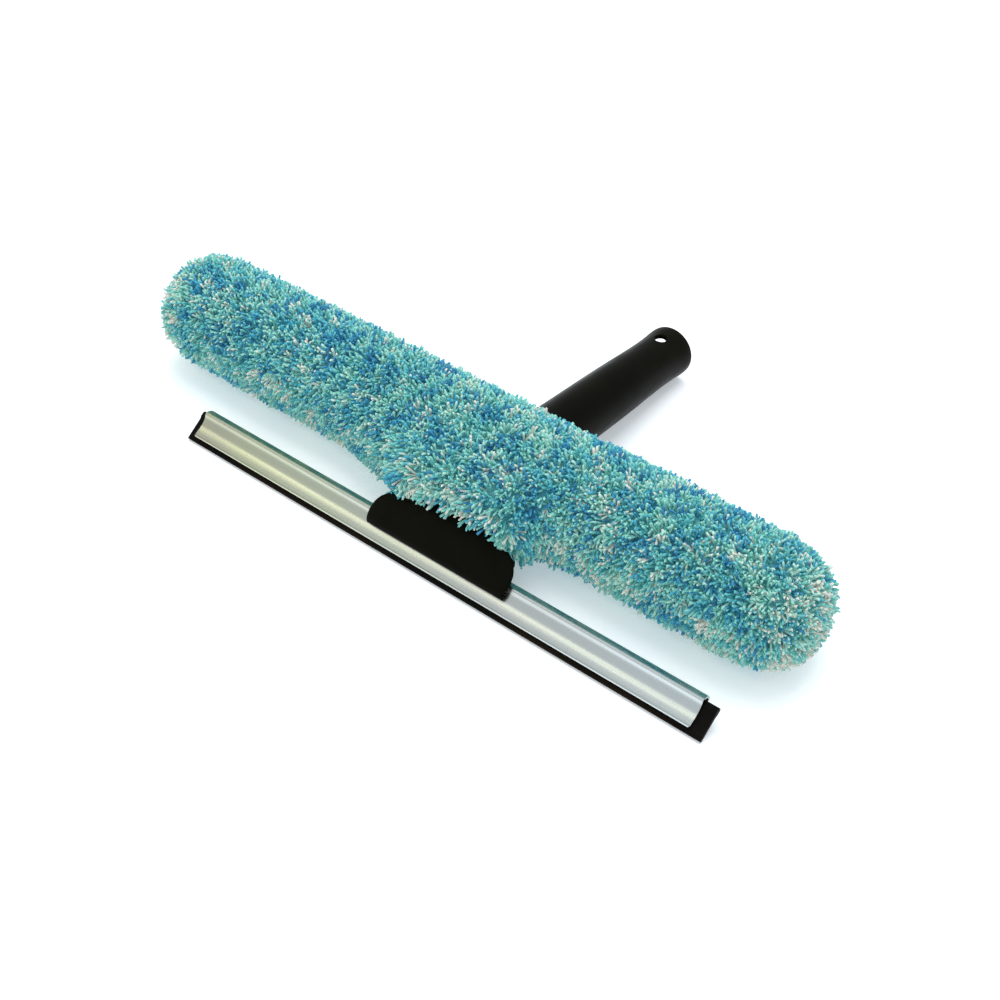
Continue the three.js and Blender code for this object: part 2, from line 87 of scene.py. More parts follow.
@dataclass(frozen=True)
class Places:
    """The three frames that the tool is drawn in, each from its own millimetres to the row.

    Attributes:
        bar: origin on the axis of the cross bar, x along the bar.
        grip: origin on the bar's axis, y along the handle towards its butt.
        blade: origin in the working edge of the rubber, y across the blade, z out of its face.
    """

    bar: Matrix
    grip: Matrix
    blade: Matrix

    @classmethod
    def from_frame(cls, frame: dict[str, Any]) -> "Places":
        """Reads the bar's axis, the tilt of the blade and the pitch of the handle.


        Returns:
            The three frames.
        """
        low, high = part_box("cross_bar")
        centre = (low + high) / 2
        release = next(j for j in frame["joints"] if j["name"] == "jaw_release")
        tilt = math.atan2(release["axis"][1], -release["axis"][2])
        butt = next(m for m in frame["record"]["mounts"] if m["name"] == "pole_end")
        pitch = math.atan2(butt["axis"][2], butt["axis"][1])
        blade_low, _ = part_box("rubber_blade")
        half_rubber = Rubber.thick_mm / 2 * MM
        edge_y = blade_low.y + half_rubber * math.sin(tilt)
        edge = Vector((centre.x, edge_y, blade_low.z + half_rubber * math.cos(tilt)))
        scale = Matrix.Scale(MM, 4)
        return cls(
            bar=Matrix.Translation(centre) @ scale,
            grip=Matrix.Translation(centre) @ Matrix.Rotation(pitch, 4, "X") @ scale,
            blade=Matrix.Translation(edge) @ Matrix.Rotation(tilt, 4, "X") @ scale,
        )


# ---- Shader nodes -----------------------------------------------------------------------------


class Shader:
    """A material's node tree, with short calls to add and join nodes."""

    def __init__(self, name: str) -> None:
        """Starts an empty material with a Principled surface.

        Args:
            name: name of the material.
        """
        self.material = bpy.data.materials.new(name)
        self.material.use_nodes = True
        self.tree = self.material.node_tree
        self.tree.nodes.clear()
        self.output = self.tree.nodes.new("ShaderNodeOutputMaterial")
        self.surface = self.tree.nodes.new("ShaderNodeBsdfPrincipled")
        self.tree.links.new(self.surface.outputs[0], self.output.inputs[0])

    def node(self, kind: str, **settings: Any) -> bpy.types.Node:
        """Adds a node.

        Args:
            kind: the node's type, without "ShaderNode".
            **settings: properties of the node.

        Returns:
            The new node.
        """
        made = self.tree.nodes.new("ShaderNode" + kind)
        for key, value in settings.items():
            setattr(made, key, value)
        return made

    def feed(self, node: bpy.types.Node, **inputs: Any) -> bpy.types.Node:
        """Sets or links inputs, named with _ in place of spaces.

        Args:
            node: the node that takes them.
            **inputs: values, or sockets to link from.

        Returns:
            The same node.
        """
        for key, value in inputs.items():
            socket = node.inputs[key.replace("_", " ")]
            if isinstance(value, bpy.types.NodeSocket):
                self.tree.links.new(value, socket)
            else:
                socket.default_value = value
        return node

    def place(self, scale: Sequence[float] = (1, 1, 1)) -> bpy.types.NodeSocket:
        """Object coordinates, stretched by scale."""
        coordinates = self.node("TexCoord")
        mapping = self.feed(self.node("Mapping"), Scale=tuple(scale))
        self.tree.links.new(coordinates.outputs["Object"], mapping.inputs["Vector"])
        return mapping.outputs["Vector"]

    def noise(self, scale: float, detail: float = 3.0,
              stretch: Sequence[float] = (1, 1, 1)) -> bpy.types.NodeSocket:
        """Noise in object space.

        Args:
            scale: bumps per metre.
            detail: octaves.
            stretch: scale of each axis, small along the direction of long streaks.

        Returns:
            The factor output.
        """
        texture = self.node("TexNoise")
        self.feed(texture, Vector=self.place(stretch), Scale=scale, Detail=detail)
        return texture.outputs["Fac"]

    def ranged(self, value: bpy.types.NodeSocket, to_low: float, to_high: float,
               low: float = 0.3, high: float = 0.7) -> bpy.types.NodeSocket:
        """Maps a factor from low..high to to_low..to_high, clamped."""
        mapped = self.feed(self.node("MapRange"), Value=value)
        for key, number in (("From Min", low), ("From Max", high), ("To Min", to_low), ("To Max", to_high)):
            mapped.inputs[key].default_value = number
        return mapped.outputs["Result"]

    def blend(self, factor: bpy.types.NodeSocket | float, first: Any, second: Any,
              mode: str = "MIX") -> bpy.types.NodeSocket:
        """Mixes two colours.

        Args:
            factor: share of the second.
            first: colour or socket.
            second: colour or socket.
            mode: blend mode.

        Returns:
            The mixed colour.
        """
        mix = self.node("MixRGB", blend_type=mode)
        for key, value in (("Fac", factor), ("Color1", first), ("Color2", second)):
            if isinstance(value, bpy.types.NodeSocket):
                self.tree.links.new(value, mix.inputs[key])
            elif isinstance(value, tuple):
                mix.inputs[key].default_value = (*value, 1.0)
            else:
                mix.inputs[key].default_value = value
        return mix.outputs["Color"]

    def bump(self, height: bpy.types.NodeSocket, strength: float, distance: float) -> None:
        """Raises the surface by a height, over any bump set before."""
        node = self.node("Bump")
        self.feed(node, Height=height, Strength=strength, Distance=distance)
        earlier = self.surface.inputs["Normal"].links
        if earlier:
            self.tree.links.new(earlier[0].from_socket, node.inputs["Normal"])
        self.tree.links.new(node.outputs["Normal"], self.surface.inputs["Normal"])


# ---- Finishes ---------------------------------------------------------------------------------


@dataclass(frozen=True)
class MouldedPlastic:
    """Black polypropylene with a fine spark-eroded grain and faint handling marks."""

    name: str
    colour: Colour = (0.0030, 0.0030, 0.0016)
    worn: Colour = (0.0050, 0.0046, 0.0024)
    roughness: float = 0.42
    gloss: float = 0.03
    grain_per_m: float = 2600.0
    grain: float = 0.12

    def material(self) -> bpy.types.Material:
        """Builds the material."""
        shader = Shader(self.name)
        smudge = shader.ranged(shader.noise(38.0, 4.0), 0.0, 1.0, 0.35, 0.75)
        colour = shader.blend(smudge, self.colour, self.worn)
        streaks = shader.noise(260.0, 3.0, (1.0, 0.25, 1.0))
        roughness = shader.ranged(streaks, self.roughness - 0.07, self.roughness + 0.1)
        shader.feed(shader.surface, Base_Color=colour, Roughness=roughness, Specular_IOR_Level=self.gloss)
        shader.bump(shader.noise(self.grain_per_m, 2.0), self.grain, 0.00012)
        return shader.material


@dataclass(frozen=True)
class SatinAluminium:
    """Extruded aluminium: drawing lines along the bar, and a painted reflection that makes it warmer and
    darker towards one end, with brownish clouds there, and cooler at the other.
    """

    name: str
    warm: Colour = (0.50, 0.52, 0.33)
    cool: Colour = (0.59, 0.645, 0.66)
    blush: Colour = (0.47, 0.42, 0.37)
    line: Colour = (0.40, 0.42, 0.38)
    roughness: float = 0.22
    half_length: float = 0.17

    def material(self) -> bpy.types.Material:
        """Builds the material."""
        shader = Shader(self.name)
        split = shader.node("SeparateXYZ")
        shader.tree.links.new(shader.place(), split.inputs[0])
        # painted reflection: warmer and darker towards the negative x end with brownish clouds, cooler
        # towards the positive x end
        along = shader.ranged(split.outputs["X"], 0.0, 1.0, -self.half_length, self.half_length)
        cloud = shader.ranged(shader.noise(22.0, 2.0, (0.4, 1.0, 1.0)), 0.0, 0.8, 0.40, 0.60)
        colour = shader.blend(along, shader.blend(cloud, self.warm, self.blush), self.cool)
        lines = shader.noise(2400.0, 4.0, (0.004, 1.0, 1.0))
        colour = shader.blend(shader.ranged(lines, 0.0, 0.2), colour, self.line)
        roughness = shader.ranged(lines, self.roughness - 0.05, self.roughness + 0.09)
        shader.feed(shader.surface, Base_Color=colour, Roughness=roughness, Metallic=1.0, Anisotropic=0.3)
        shader.bump(lines, 0.012, 0.00004)
        return shader.material


@dataclass(frozen=True)
class BladeRubber:
    """Soft black rubber with brownish patches of painted sheen."""

    name: str
    colour: Colour = (0.0045, 0.0042, 0.0038)
    bloom: Colour = (0.020, 0.013, 0.006)

    def material(self) -> bpy.types.Material:
        """Builds the material."""
        shader = Shader(self.name)
        # painted sheen: brownish patches at random, standing in for the rubber's warm reflection
        bloom = shader.ranged(shader.noise(45.0, 4.0, (0.3, 1.0, 1.0)), 0.0, 0.7, 0.42, 0.72)
        colour = shader.blend(bloom, self.colour, self.bloom)
        roughness = shader.ranged(shader.noise(300.0), 0.42, 0.6)
        shader.feed(shader.surface, Base_Color=colour, Roughness=roughness, Specular_IOR_Level=0.04)
        shader.bump(shader.noise(1800.0, 2.0, (0.15, 1.0, 1.0)), 0.08, 0.00008)
        return shader.material


@dataclass(frozen=True)
class MetalPart:
    """A small turned or pressed metal part."""

    name: str
    colour: Colour
    roughness: float = 0.28

    def material(self) -> bpy.types.Material:
        """Builds the material."""
        shader = Shader(self.name)
        stain = shader.ranged(shader.noise(420.0, 4.0), 0.0, 0.35)
        dull = tuple(channel * 0.62 for channel in self.colour)
        colour = shader.blend(stain, self.colour, dull)
        roughness = shader.ranged(stain, self.roughness, self.roughness + 0.2, 0.0, 0.35)
        shader.feed(shader.surface, Base_Color=colour, Roughness=roughness, Metallic=1.0)
        shader.bump(shader.noise(5200.0, 2.0), 0.05, 0.00004)
        return shader.material


@dataclass(frozen=True)
class WovenCloth:
    """Plain woven polyester or tape: over and under threads, a little fuzz. The hollows of the weave take the
    darker shade colour as painted shade.
    """

    name: str
    colour: Colour
    shade: Colour
    threads_per_m: float = 1400.0

    def material(self) -> bpy.types.Material:
        """Builds the material."""
        shader = Shader(self.name)
        warp = shader.node("TexWave", bands_direction="X", wave_profile="SIN")
        weft = shader.node("TexWave", bands_direction="Z", wave_profile="SIN")
        for wave in (warp, weft):
            shader.feed(wave, Vector=shader.place(), Scale=self.threads_per_m / 20,
                        Distortion=0.6, Detail=1.0)
        weave = shader.node("Math", operation="MULTIPLY")
        shader.tree.links.new(warp.outputs["Fac"], weave.inputs[0])
        shader.tree.links.new(weft.outputs["Fac"], weave.inputs[1])
        fuzz = shader.noise(900.0, 3.0)
        # painted shade: the low points of the weave take the darker shade colour; the fuzz below mixes it in
        # at random
        colour = shader.blend(weave.outputs[0], self.shade, self.colour)
        colour = shader.blend(shader.ranged(fuzz, 0.0, 0.3), colour, self.shade)
        shader.feed(shader.surface, Base_Color=colour, Roughness=0.9, Sheen_Weight=0.25)
        shader.bump(weave.outputs[0], 0.5, 0.0003)
        return shader.material


@dataclass(frozen=True)
class YarnFinish:
    """Twisted microfibre yarn: darker at its foot as painted shade near the ground, paler at its tip, each
    tuft a little its own tone.
    """

    name: str
    colour: Colour
    foot: Colour
    tip: Colour
    glow: float = 0.14

    def material(self) -> bpy.types.Material:
        """Builds the material. The glow stands for light that comes through the thin fibres."""
        shader = Shader(self.name)
        along = shader.node("Attribute", attribute_name="along").outputs["Fac"]
        tone = shader.node("Attribute", attribute_name="tone").outputs["Fac"]
        # painted shade: each strand is darker towards its foot, near the ground
        base = shader.blend(shader.ranged(along, 0.0, 1.0, 0.05, 0.5), self.foot, self.colour)
        tipped = shader.blend(shader.ranged(along, 0.0, 0.8, 0.55, 1.0), base, self.tip)
        fleck = shader.ranged(shader.noise(1500.0, 2.0), 0.0, 0.5, 0.45, 0.7)
        flecked = shader.blend(fleck, tipped, self.tip)
        toned = shader.blend(shader.ranged(tone, 0.0, 0.35, 0.0, 1.0), flecked, self.foot)
        shader.feed(shader.surface, Base_Color=toned, Roughness=0.85)
        shader.feed(shader.surface, Emission_Color=toned, Emission_Strength=self.glow)
        shader.feed(shader.surface, Sheen_Weight=0.12, Sheen_Roughness=0.6, Specular_IOR_Level=0.08)
        shader.bump(shader.noise(4200.0, 1.0), 0.2, 0.0002)
        return shader.material


@dataclass(frozen=True)
class Felt:
    """The dense short ground of the pile, seen only between the tufts."""

    name: str
    colour: Colour
    deep: Colour

    def material(self) -> bpy.types.Material:
        """Builds the material."""
        shader = Shader(self.name)
        mottle = shader.ranged(shader.noise(420.0, 4.0), 0.0, 1.0)
        shader.feed(shader.surface, Base_Color=shader.blend(mottle, self.deep, self.colour), Roughness=0.95)
        shader.bump(shader.noise(1600.0, 4.0), 0.9, 0.0012)
        return shader.material


class YarnShade(Enum):
    """The dyed yarns that are mixed in the pile, from blue to white: share, colour, foot and tip. The darker
    foot colour is painted shade near the ground.
    """

    DEEP_BLUE = (0.08, (0.029, 0.246, 0.452), (0.021, 0.182, 0.365), (0.053, 0.309, 0.505))
    SKY_BLUE = (0.14, (0.049, 0.382, 0.539), (0.035, 0.291, 0.435), (0.087, 0.446, 0.574))
    TEAL = (0.18, (0.097, 0.491, 0.539), (0.068, 0.382, 0.435), (0.155, 0.546, 0.566))
    SEA_GREEN = (0.19, (0.184, 0.592, 0.539), (0.131, 0.473, 0.444), (0.252, 0.637, 0.574))
    AQUA = (0.17, (0.281, 0.664, 0.583), (0.204, 0.546, 0.496), (0.349, 0.701, 0.618))
    PALE_AQUA = (0.12, (0.417, 0.728, 0.626), (0.31, 0.61, 0.539), (0.485, 0.755, 0.661))
    WHITE = (0.07, (0.601, 0.746, 0.67), (0.446, 0.628, 0.583), (0.679, 0.773, 0.696))
    ROSY_WHITE = (0.05, (0.698, 0.719, 0.644), (0.524, 0.61, 0.566), (0.757, 0.755, 0.679))

    def __init__(self, share: float, colour: Colour, foot: Colour, tip: Colour) -> None:
        """Keeps the yarn's share and its three colours."""
        self.share = share
        self.colour = colour
        self.foot = foot
        self.tip = tip

    @property
    def label(self) -> str:
        """The name in lower case."""
        return self.name.lower()

    def finish(self) -> YarnFinish:
        """The finish of tufts in this shade."""
        return YarnFinish(f"yarn_{self.label}", self.colour, self.foot, self.tip)


# ---- Mesh tools -------------------------------------------------------------------------------


def object_from(name: str, mesh: bpy.types.Mesh) -> bpy.types.Object:
    """Links a mesh into the scene as an object at the origin."""
    made = bpy.data.objects.new(name, mesh)
    bpy.context.scene.collection.objects.link(made)
    return made


def mesh_piece(name: str, points: Iterable[Sequence[float]], faces: Iterable[Sequence[int]],
               place: Matrix, sharp_over: float = 35.0) -> bpy.types.Object:
    """Makes an object from points and faces, with its normals pointing out.

    Args:
        name: name of the piece.
        points: corners in the frame's own units.
        faces: corner indices of each face.
        place: frame that carries the points to the row.
        sharp_over: edges that turn by more than this many degrees stay sharp.

    Returns:
        The object, at the origin.
    """
    mesh = bpy.data.meshes.new(name)
    mesh.from_pydata([place @ Vector(p) for p in points], [], [list(f) for f in faces])
    shell = bmesh.new()
    shell.from_mesh(mesh)
    bmesh.ops.remove_doubles(shell, verts=shell.verts, dist=1e-7)
    bmesh.ops.recalc_face_normals(shell, faces=shell.faces)
    shell.to_mesh(mesh)
    shell.free()
    soften(mesh, sharp_over)
    return object_from(name, mesh)


def soften(mesh: bpy.types.Mesh, sharp_over: float = 35.0) -> None:
    """Shades a mesh smooth, apart from edges that turn by more than sharp_over degrees."""
    mesh.polygons.foreach_set("use_smooth", [True] * len(mesh.polygons))
    mesh.set_sharp_from_angle(angle=math.radians(sharp_over))


def settled(piece: bpy.types.Object) -> bpy.types.Object:
    """Turns a piece's modifiers into plain mesh."""
    bpy.context.view_layer.update()
    graph = bpy.context.evaluated_depsgraph_get()
    mesh = bpy.data.meshes.new_from_object(piece.evaluated_get(graph), depsgraph=graph)
    piece.modifiers.clear()
    old = piece.data
    piece.data = mesh
    bpy.data.meshes.remove(old)
    mesh.name = piece.name
    return piece


def carved(piece: bpy.types.Object, tool: bpy.types.Object,
           operation: str = "DIFFERENCE") -> bpy.types.Object:
    """Cuts or joins a piece with a tool, which is used up.

    Args:
        piece: the piece that changes.
        tool: closed mesh.
        operation: DIFFERENCE, UNION or INTERSECT.

    Returns:
        The piece.
    """
    cut = piece.modifiers.new("cut", "BOOLEAN")
    cut.object = tool
    cut.operation = operation
    cut.solver = "EXACT"
    settled(piece)
    bpy.data.objects.remove(tool)
    return piece


def chamfered(piece: bpy.types.Object, width_mm: float, segments: int = 2,
              angle: float = 32.0) -> bpy.types.Object:
    """Rounds the sharp edges of a piece."""
    bevel = piece.modifiers.new("edge", "BEVEL")
    bevel.width = width_mm * MM
    bevel.segments = segments
    bevel.limit_method = "ANGLE"
    bevel.angle_limit = math.radians(angle)
    bevel.use_clamp_overlap = True
    settled(piece)
    soften(piece.data)
    return piece


def turned(name: str, profile: Sequence[Point2], place: Matrix, axis: str = "Y",
           steps: int = 96) -> bpy.types.Object:
    """Turns a profile of (radius, distance) round an axis.

    Args:
        name: name of the piece.
        profile: points in order; a point of radius 0 closes the shape on the axis.
        place: frame of the axis.
        axis: X, Y or Z of that frame.
        steps: facets round the axis.

    Returns:
        The piece.
    """
    points: list[tuple[float, float, float]] = []
    for radius, along in profile:
        for i in range(steps):
            a = 2 * math.pi * i / steps
            c, s = radius * math.cos(a), radius * math.sin(a)
            points.append({"X": (along, c, s), "Y": (s, along, c), "Z": (c, s, along)}[axis])
    closed = profile[0] != profile[-1] and profile[0][0] > 0 and profile[-1][0] > 0
    faces = ring_faces(len(profile), steps, closed)
    return mesh_piece(name, points, clean_faces(points, faces), place)


def ring_faces(rings: int, around: int, closed: bool = False) -> list[tuple[int, ...]]:
    """Faces of four corners between rings that follow each other.

    Args:
        rings: number of rings.
        around: corners in each ring.
        closed: whether the last ring also joins the first.

    Returns:
        Corner indices of each face.
    """
    faces = []
    for j in range(rings if closed else rings - 1):
        near, far = j * around, (j + 1) % rings * around
        for i in range(around):
            n = (i + 1) % around
            faces.append((near + i, near + n, far + n, far + i))
    return faces


def clean_faces(points: Sequence[Sequence[float]], faces: Iterable[Sequence[int]]) -> list[list[int]]:
    """Drops repeated corners, so that a ring on the axis becomes a fan of triangles."""
    kept = []
    seen: dict[tuple[int, int, int], int] = {}
    for face in faces:
        corners: list[int] = []
        for index in face:
            key = tuple(round(v * 1e6) for v in points[index])
            corner = seen.setdefault(key, index)
            if corner not in corners:
                corners.append(corner)
        if len(corners) >= 3:
            kept.append(corners)
    return kept


def rod(radius: float, start: float, end: float) -> list[Point2]:
    """Profile of a plain rod."""
    return [(0, start), (radius, start), (radius, end), (0, end)]


def smooth_step(value: float) -> float:
    """Eases a value from 0 to 1."""
    t = min(max(value, 0.0), 1.0)
    return t * t * (3 - 2 * t)


def spline(points: Sequence[Point2], steps: int) -> list[Point2]:
    """A smooth curve through points, by Catmull and Rom's rule.

    Args:
        points: points in order.
        steps: pieces between each two points.

    Returns:
        Points along the curve, with both ends.
    """
    padded = [points[0], *points, points[-1]]
    curve = []
    for p0, p1, p2, p3 in zip(padded, padded[1:], padded[2:], padded[3:]):
        for i in range(steps):
            t = i / steps
            curve.append(tuple(
                0.5 * (2 * b + (c - a) * t + (2 * a - 5 * b + 4 * c - d) * t * t
                       + (3 * b - a - 3 * c + d) * t ** 3)
                for a, b, c, d in zip(p0, p1, p2, p3)
            ))
    curve.append(points[-1])
    return curve


def drawn_out(name: str, section: Sequence[Point2], ends: Callable[[float, float], tuple[float, float]],
              place: Matrix, stations: int = 8) -> bpy.types.Object:
    """Draws a closed section of (y, z) out along x.

    Args:
        name: name of the piece.
        section: corners in order.
        ends: gives where each corner's line starts and stops, from its y and z.
        place: frame of the section.
        stations: rows between the two ends.

    Returns:
        The piece, with both ends closed.
    """
    count = len(section)
    points = []
    for j in range(stations + 1):
        for y, z in section:
            start, stop = ends(y, z)
            points.append((start + (stop - start) * j / stations, y, z))
    faces = ring_faces(stations + 1, count)
    faces.append(tuple(range(count)))
    faces.append(tuple(stations * count + i for i in range(count)))
    return mesh_piece(name, points, faces, place, 28.0)


def reach_of(node: str, place: Matrix) -> tuple[float, float]:
    """Where a CAD node starts and ends along x, in the millimetres of a frame."""
    low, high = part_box(node)
    return (low.x - place.translation.x) / MM, (high.x - place.translation.x) / MM


def copy_of(node: str, name: str) -> bpy.types.Object:
    """A merged copy of a CAD node's mesh, with its flat areas made whole, ready for finer edges."""
    shell = bmesh.new()
    shell.from_mesh(bpy.data.objects[node].data)
    bmesh.ops.remove_doubles(shell, verts=shell.verts, dist=2e-6)
    bmesh.ops.dissolve_limit(shell, angle_limit=math.radians(2), verts=shell.verts, edges=shell.edges)
    mesh = bpy.data.meshes.new(name)
    shell.to_mesh(mesh)
    shell.free()
    soften(mesh)
    return object_from(name, mesh)


def finished(piece: bpy.types.Object, material: bpy.types.Material, body: str, slot: str,
             *nodes: str) -> bpy.types.Object:
    """Gives a piece its material and its body, and hides the CAD nodes that it stands for."""
    piece.data.materials.clear()
    piece.data.materials.append(material)
    piece.data.polygons.foreach_set("material_index", [0] * len(piece.data.polygons))
    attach(piece, body)
    if nodes:
        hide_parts(*nodes)
    LOG.info("%s: %d faces on %s", piece.name, len(piece.data.polygons), body)
    return piece


# ---- Geometry node trees ----------------------------------------------------------------------


class NodeRecipe:
    """A geometry node tree, with short calls to add and join nodes."""

    def __init__(self, name: str) -> None:
        """Starts a tree with one geometry input and one geometry output.

        Args:
            name: name of the tree.
        """
        self.tree = bpy.data.node_groups.new(name, "GeometryNodeTree")
        self.tree.interface.new_socket("Geometry", in_out="INPUT", socket_type="NodeSocketGeometry")
        self.tree.interface.new_socket("Geometry", in_out="OUTPUT", socket_type="NodeSocketGeometry")
        self.inlet = self.tree.nodes.new("NodeGroupInput")
        self.outlet = self.tree.nodes.new("NodeGroupOutput")

    def size(self, name: str, kind: str = "Float") -> bpy.types.NodeSocket:
        """Adds a named input of the tree and returns its socket."""
        self.tree.interface.new_socket(name, in_out="INPUT", socket_type="NodeSocket" + kind)
        return self.inlet.outputs[name]

    def node(self, kind: str, settings: dict[str, Any] | None = None, **inputs: Any) -> bpy.types.Node:
        """Adds a node and feeds its inputs.

        Args:
            kind: the node's full type.
            settings: properties of the node.
            **inputs: values or sockets by socket identifier, with _ in place of spaces.

        Returns:
            The node.
        """
        made = self.tree.nodes.new(kind)
        for key, value in (settings or {}).items():
            setattr(made, key, value)
        for key, value in inputs.items():
            socket = next(s for s in made.inputs if s.identifier.replace(" ", "_") == key)
            if isinstance(value, bpy.types.NodeSocket):
                self.tree.links.new(value, socket)
            else:
                socket.default_value = value
        return made

    def math(self, operation: str, first: Any, second: Any = 0.0) -> bpy.types.NodeSocket:
        """A sum on two numbers."""
        return self.node("ShaderNodeMath", {"operation": operation}, Value=first, Value_001=second).outputs[0]

    def vector(self, operation: str, first: Any, second: Any = (0, 0, 0)) -> bpy.types.NodeSocket:
        """A sum on two vectors."""
        made = self.node("ShaderNodeVectorMath", {"operation": operation}, Vector=first, Vector_001=second)
        return made.outputs[0]

    def scaled(self, first: bpy.types.NodeSocket, factor: Any) -> bpy.types.NodeSocket:
        """A vector times a number."""
        made = self.node("ShaderNodeVectorMath", {"operation": "SCALE"}, Vector=first, Scale=factor)
        return made.outputs[0]

    def random(self, low: Any, high: Any, seed: Any) -> bpy.types.NodeSocket:
        """A random number between low and high for each element."""
        made = self.node("FunctionNodeRandomValue", {"data_type": "FLOAT"},
                         Min_001=low, Max_001=high, Seed=seed)
        return made.outputs[1]

    def random_vector(self, reach: float, seed: Any) -> bpy.types.NodeSocket:
        """A random vector with each part between -reach and reach."""
        made = self.node("FunctionNodeRandomValue", {"data_type": "FLOAT_VECTOR"},
                         Min=(-reach,) * 3, Max=(reach,) * 3, Seed=seed)
        return made.outputs[0]

    def finish(self, geometry: bpy.types.NodeSocket, material: bpy.types.NodeSocket) -> None:
        """Ends the tree in Realize Instances and Set Material."""
        real = self.node("GeometryNodeRealizeInstances", Geometry=geometry)
        dressed = self.node("GeometryNodeSetMaterial", Geometry=real.outputs[0], Material=material)
        self.tree.links.new(dressed.outputs[0], self.outlet.inputs[0])

    def run(self, piece: bpy.types.Object, **values: Any) -> bpy.types.Object:
        """Puts the tree on a piece with the given sizes and turns the result into plain mesh.

        Args:
            piece: object that carries the tree.
            **values: tree inputs by name, with _ in place of spaces.

        Returns:
            The piece.
        """
        modifier = piece.modifiers.new(self.tree.name, "NODES")
        modifier.node_group = self.tree
        for item in self.tree.interface.items_tree:
            key = item.name.replace(" ", "_")
            if item.in_out == "INPUT" and key in values:
                modifier[item.identifier] = values[key]
        return settled(piece)


def tuft_recipe() -> NodeRecipe:
    """Tree that plants tufts of one shade on a carrier surface.

    Returns:
        The tree. Every shade is planted with the same seed, so all shades share one set of points
        and each keeps those whose pick falls between its low and high. The carrier's own attributes
        say where the yarn is paler, towards the ends and, as painted bounce light, on the lower front side,
        and where it is longer.
    """
    recipe = NodeRecipe("plant_tufts")
    spacing = recipe.size("Spacing")
    density = recipe.size("Density")
    seed = recipe.size("Seed", "Int")
    low = recipe.size("Pick Low")
    high = recipe.size("Pick High")
    patch = recipe.size("Patch Scale")
    lean = recipe.size("Lean")
    droop = recipe.size("Droop")
    tufts = recipe.size("Tufts", "Collection")
    material = recipe.size("Material", "Material")

    planted = recipe.node("GeometryNodeDistributePointsOnFaces", {"distribute_method": "POISSON"},
                          Mesh=recipe.inlet.outputs[0], Distance_Min=spacing, Density_Max=density, Seed=seed)
    pale = recipe.node("GeometryNodeInputNamedAttribute", {"data_type": "FLOAT"}, Name="pale").outputs[0]
    long = recipe.node("GeometryNodeInputNamedAttribute", {"data_type": "FLOAT"}, Name="long").outputs[0]
    where = recipe.node("GeometryNodeInputPosition").outputs[0]
    cloud = recipe.node("ShaderNodeTexNoise", Vector=where, Scale=patch, Detail=1.0).outputs[0]
    patchy = recipe.math("MULTIPLY", recipe.math("SUBTRACT", cloud, 0.5), 1.5)
    # higher picks are paler yarn: towards the ends, and on the lower front side as painted bounce light
    shifted = recipe.math("ADD", patchy, recipe.math("MULTIPLY", pale, 0.22))
    pick = recipe.math("ADD", shifted, recipe.random(0.02, 0.98, seed))
    settled_pick = recipe.math("MINIMUM", recipe.math("MAXIMUM", pick, 0.001), 0.999)
    others = recipe.math("ADD", recipe.math("LESS_THAN", settled_pick, low),
                         recipe.math("SUBTRACT", 1.0, recipe.math("LESS_THAN", settled_pick, high)))

    astray = recipe.scaled(recipe.random_vector(1.0, 7), lean)
    tip_vector = recipe.vector("ADD", planted.outputs["Normal"], astray)
    sag = recipe.math("MULTIPLY", droop, recipe.math("ADD", 1.0, recipe.math("MULTIPLY", long, 1.2)))
    hang = recipe.node("ShaderNodeCombineXYZ", Z=recipe.math("MULTIPLY", sag, -1.0)).outputs[0]
    direction = recipe.vector("ADD", tip_vector, hang)
    aligned = recipe.node("FunctionNodeAlignRotationToVector", {"axis": "Z"}, Vector=direction)
    spin = recipe.node("FunctionNodeAxisAngleToRotation", Axis=(0, 0, 1), Angle=recipe.random(0.0, 6.283, 11))
    turned_tuft = recipe.node("FunctionNodeRotateRotation", {"rotation_space": "LOCAL"},
                              Rotation=aligned.outputs[0], Rotate_By=spin.outputs[0])
    stored = recipe.node("GeometryNodeStoreNamedAttribute", {"data_type": "QUATERNION", "domain": "POINT"},
                         Geometry=planted.outputs["Points"], Name="stand", Value=turned_tuft.outputs[0])
    kept = recipe.node("GeometryNodeDeleteGeometry", {"domain": "POINT"},
                       Geometry=stored.outputs[0], Selection=others)
    stand = recipe.node("GeometryNodeInputNamedAttribute", {"data_type": "QUATERNION"}, Name="stand")
    models = recipe.node("GeometryNodeCollectionInfo", Collection=tufts, Separate_Children=True,
                         Reset_Children=True)
    choice = recipe.node("FunctionNodeRandomValue", {"data_type": "INT"}, Min_002=0, Max_002=99, Seed=13)
    size = recipe.random(0.84, 1.12, 17)
    tall = recipe.math("MULTIPLY", size, recipe.math("ADD", 1.0, recipe.math("MULTIPLY", long, 0.5)))
    scale = recipe.node("ShaderNodeCombineXYZ", X=size, Y=size, Z=tall).outputs[0]
    copies = recipe.node("GeometryNodeInstanceOnPoints", Points=kept.outputs[0], Instance=models.outputs[0],
                         Pick_Instance=True, Instance_Index=choice.outputs[2], Rotation=stand.outputs[0],
                         Scale=scale)
    toned = recipe.node("GeometryNodeStoreNamedAttribute", {"data_type": "FLOAT", "domain": "INSTANCE"},
                        Geometry=copies.outputs[0], Name="tone", Value=recipe.random(0.0, 1.0, 19))
    recipe.finish(toned.outputs[0], material)
    return recipe


# ---- Squeegee ---------------------------------------------------------------------------------


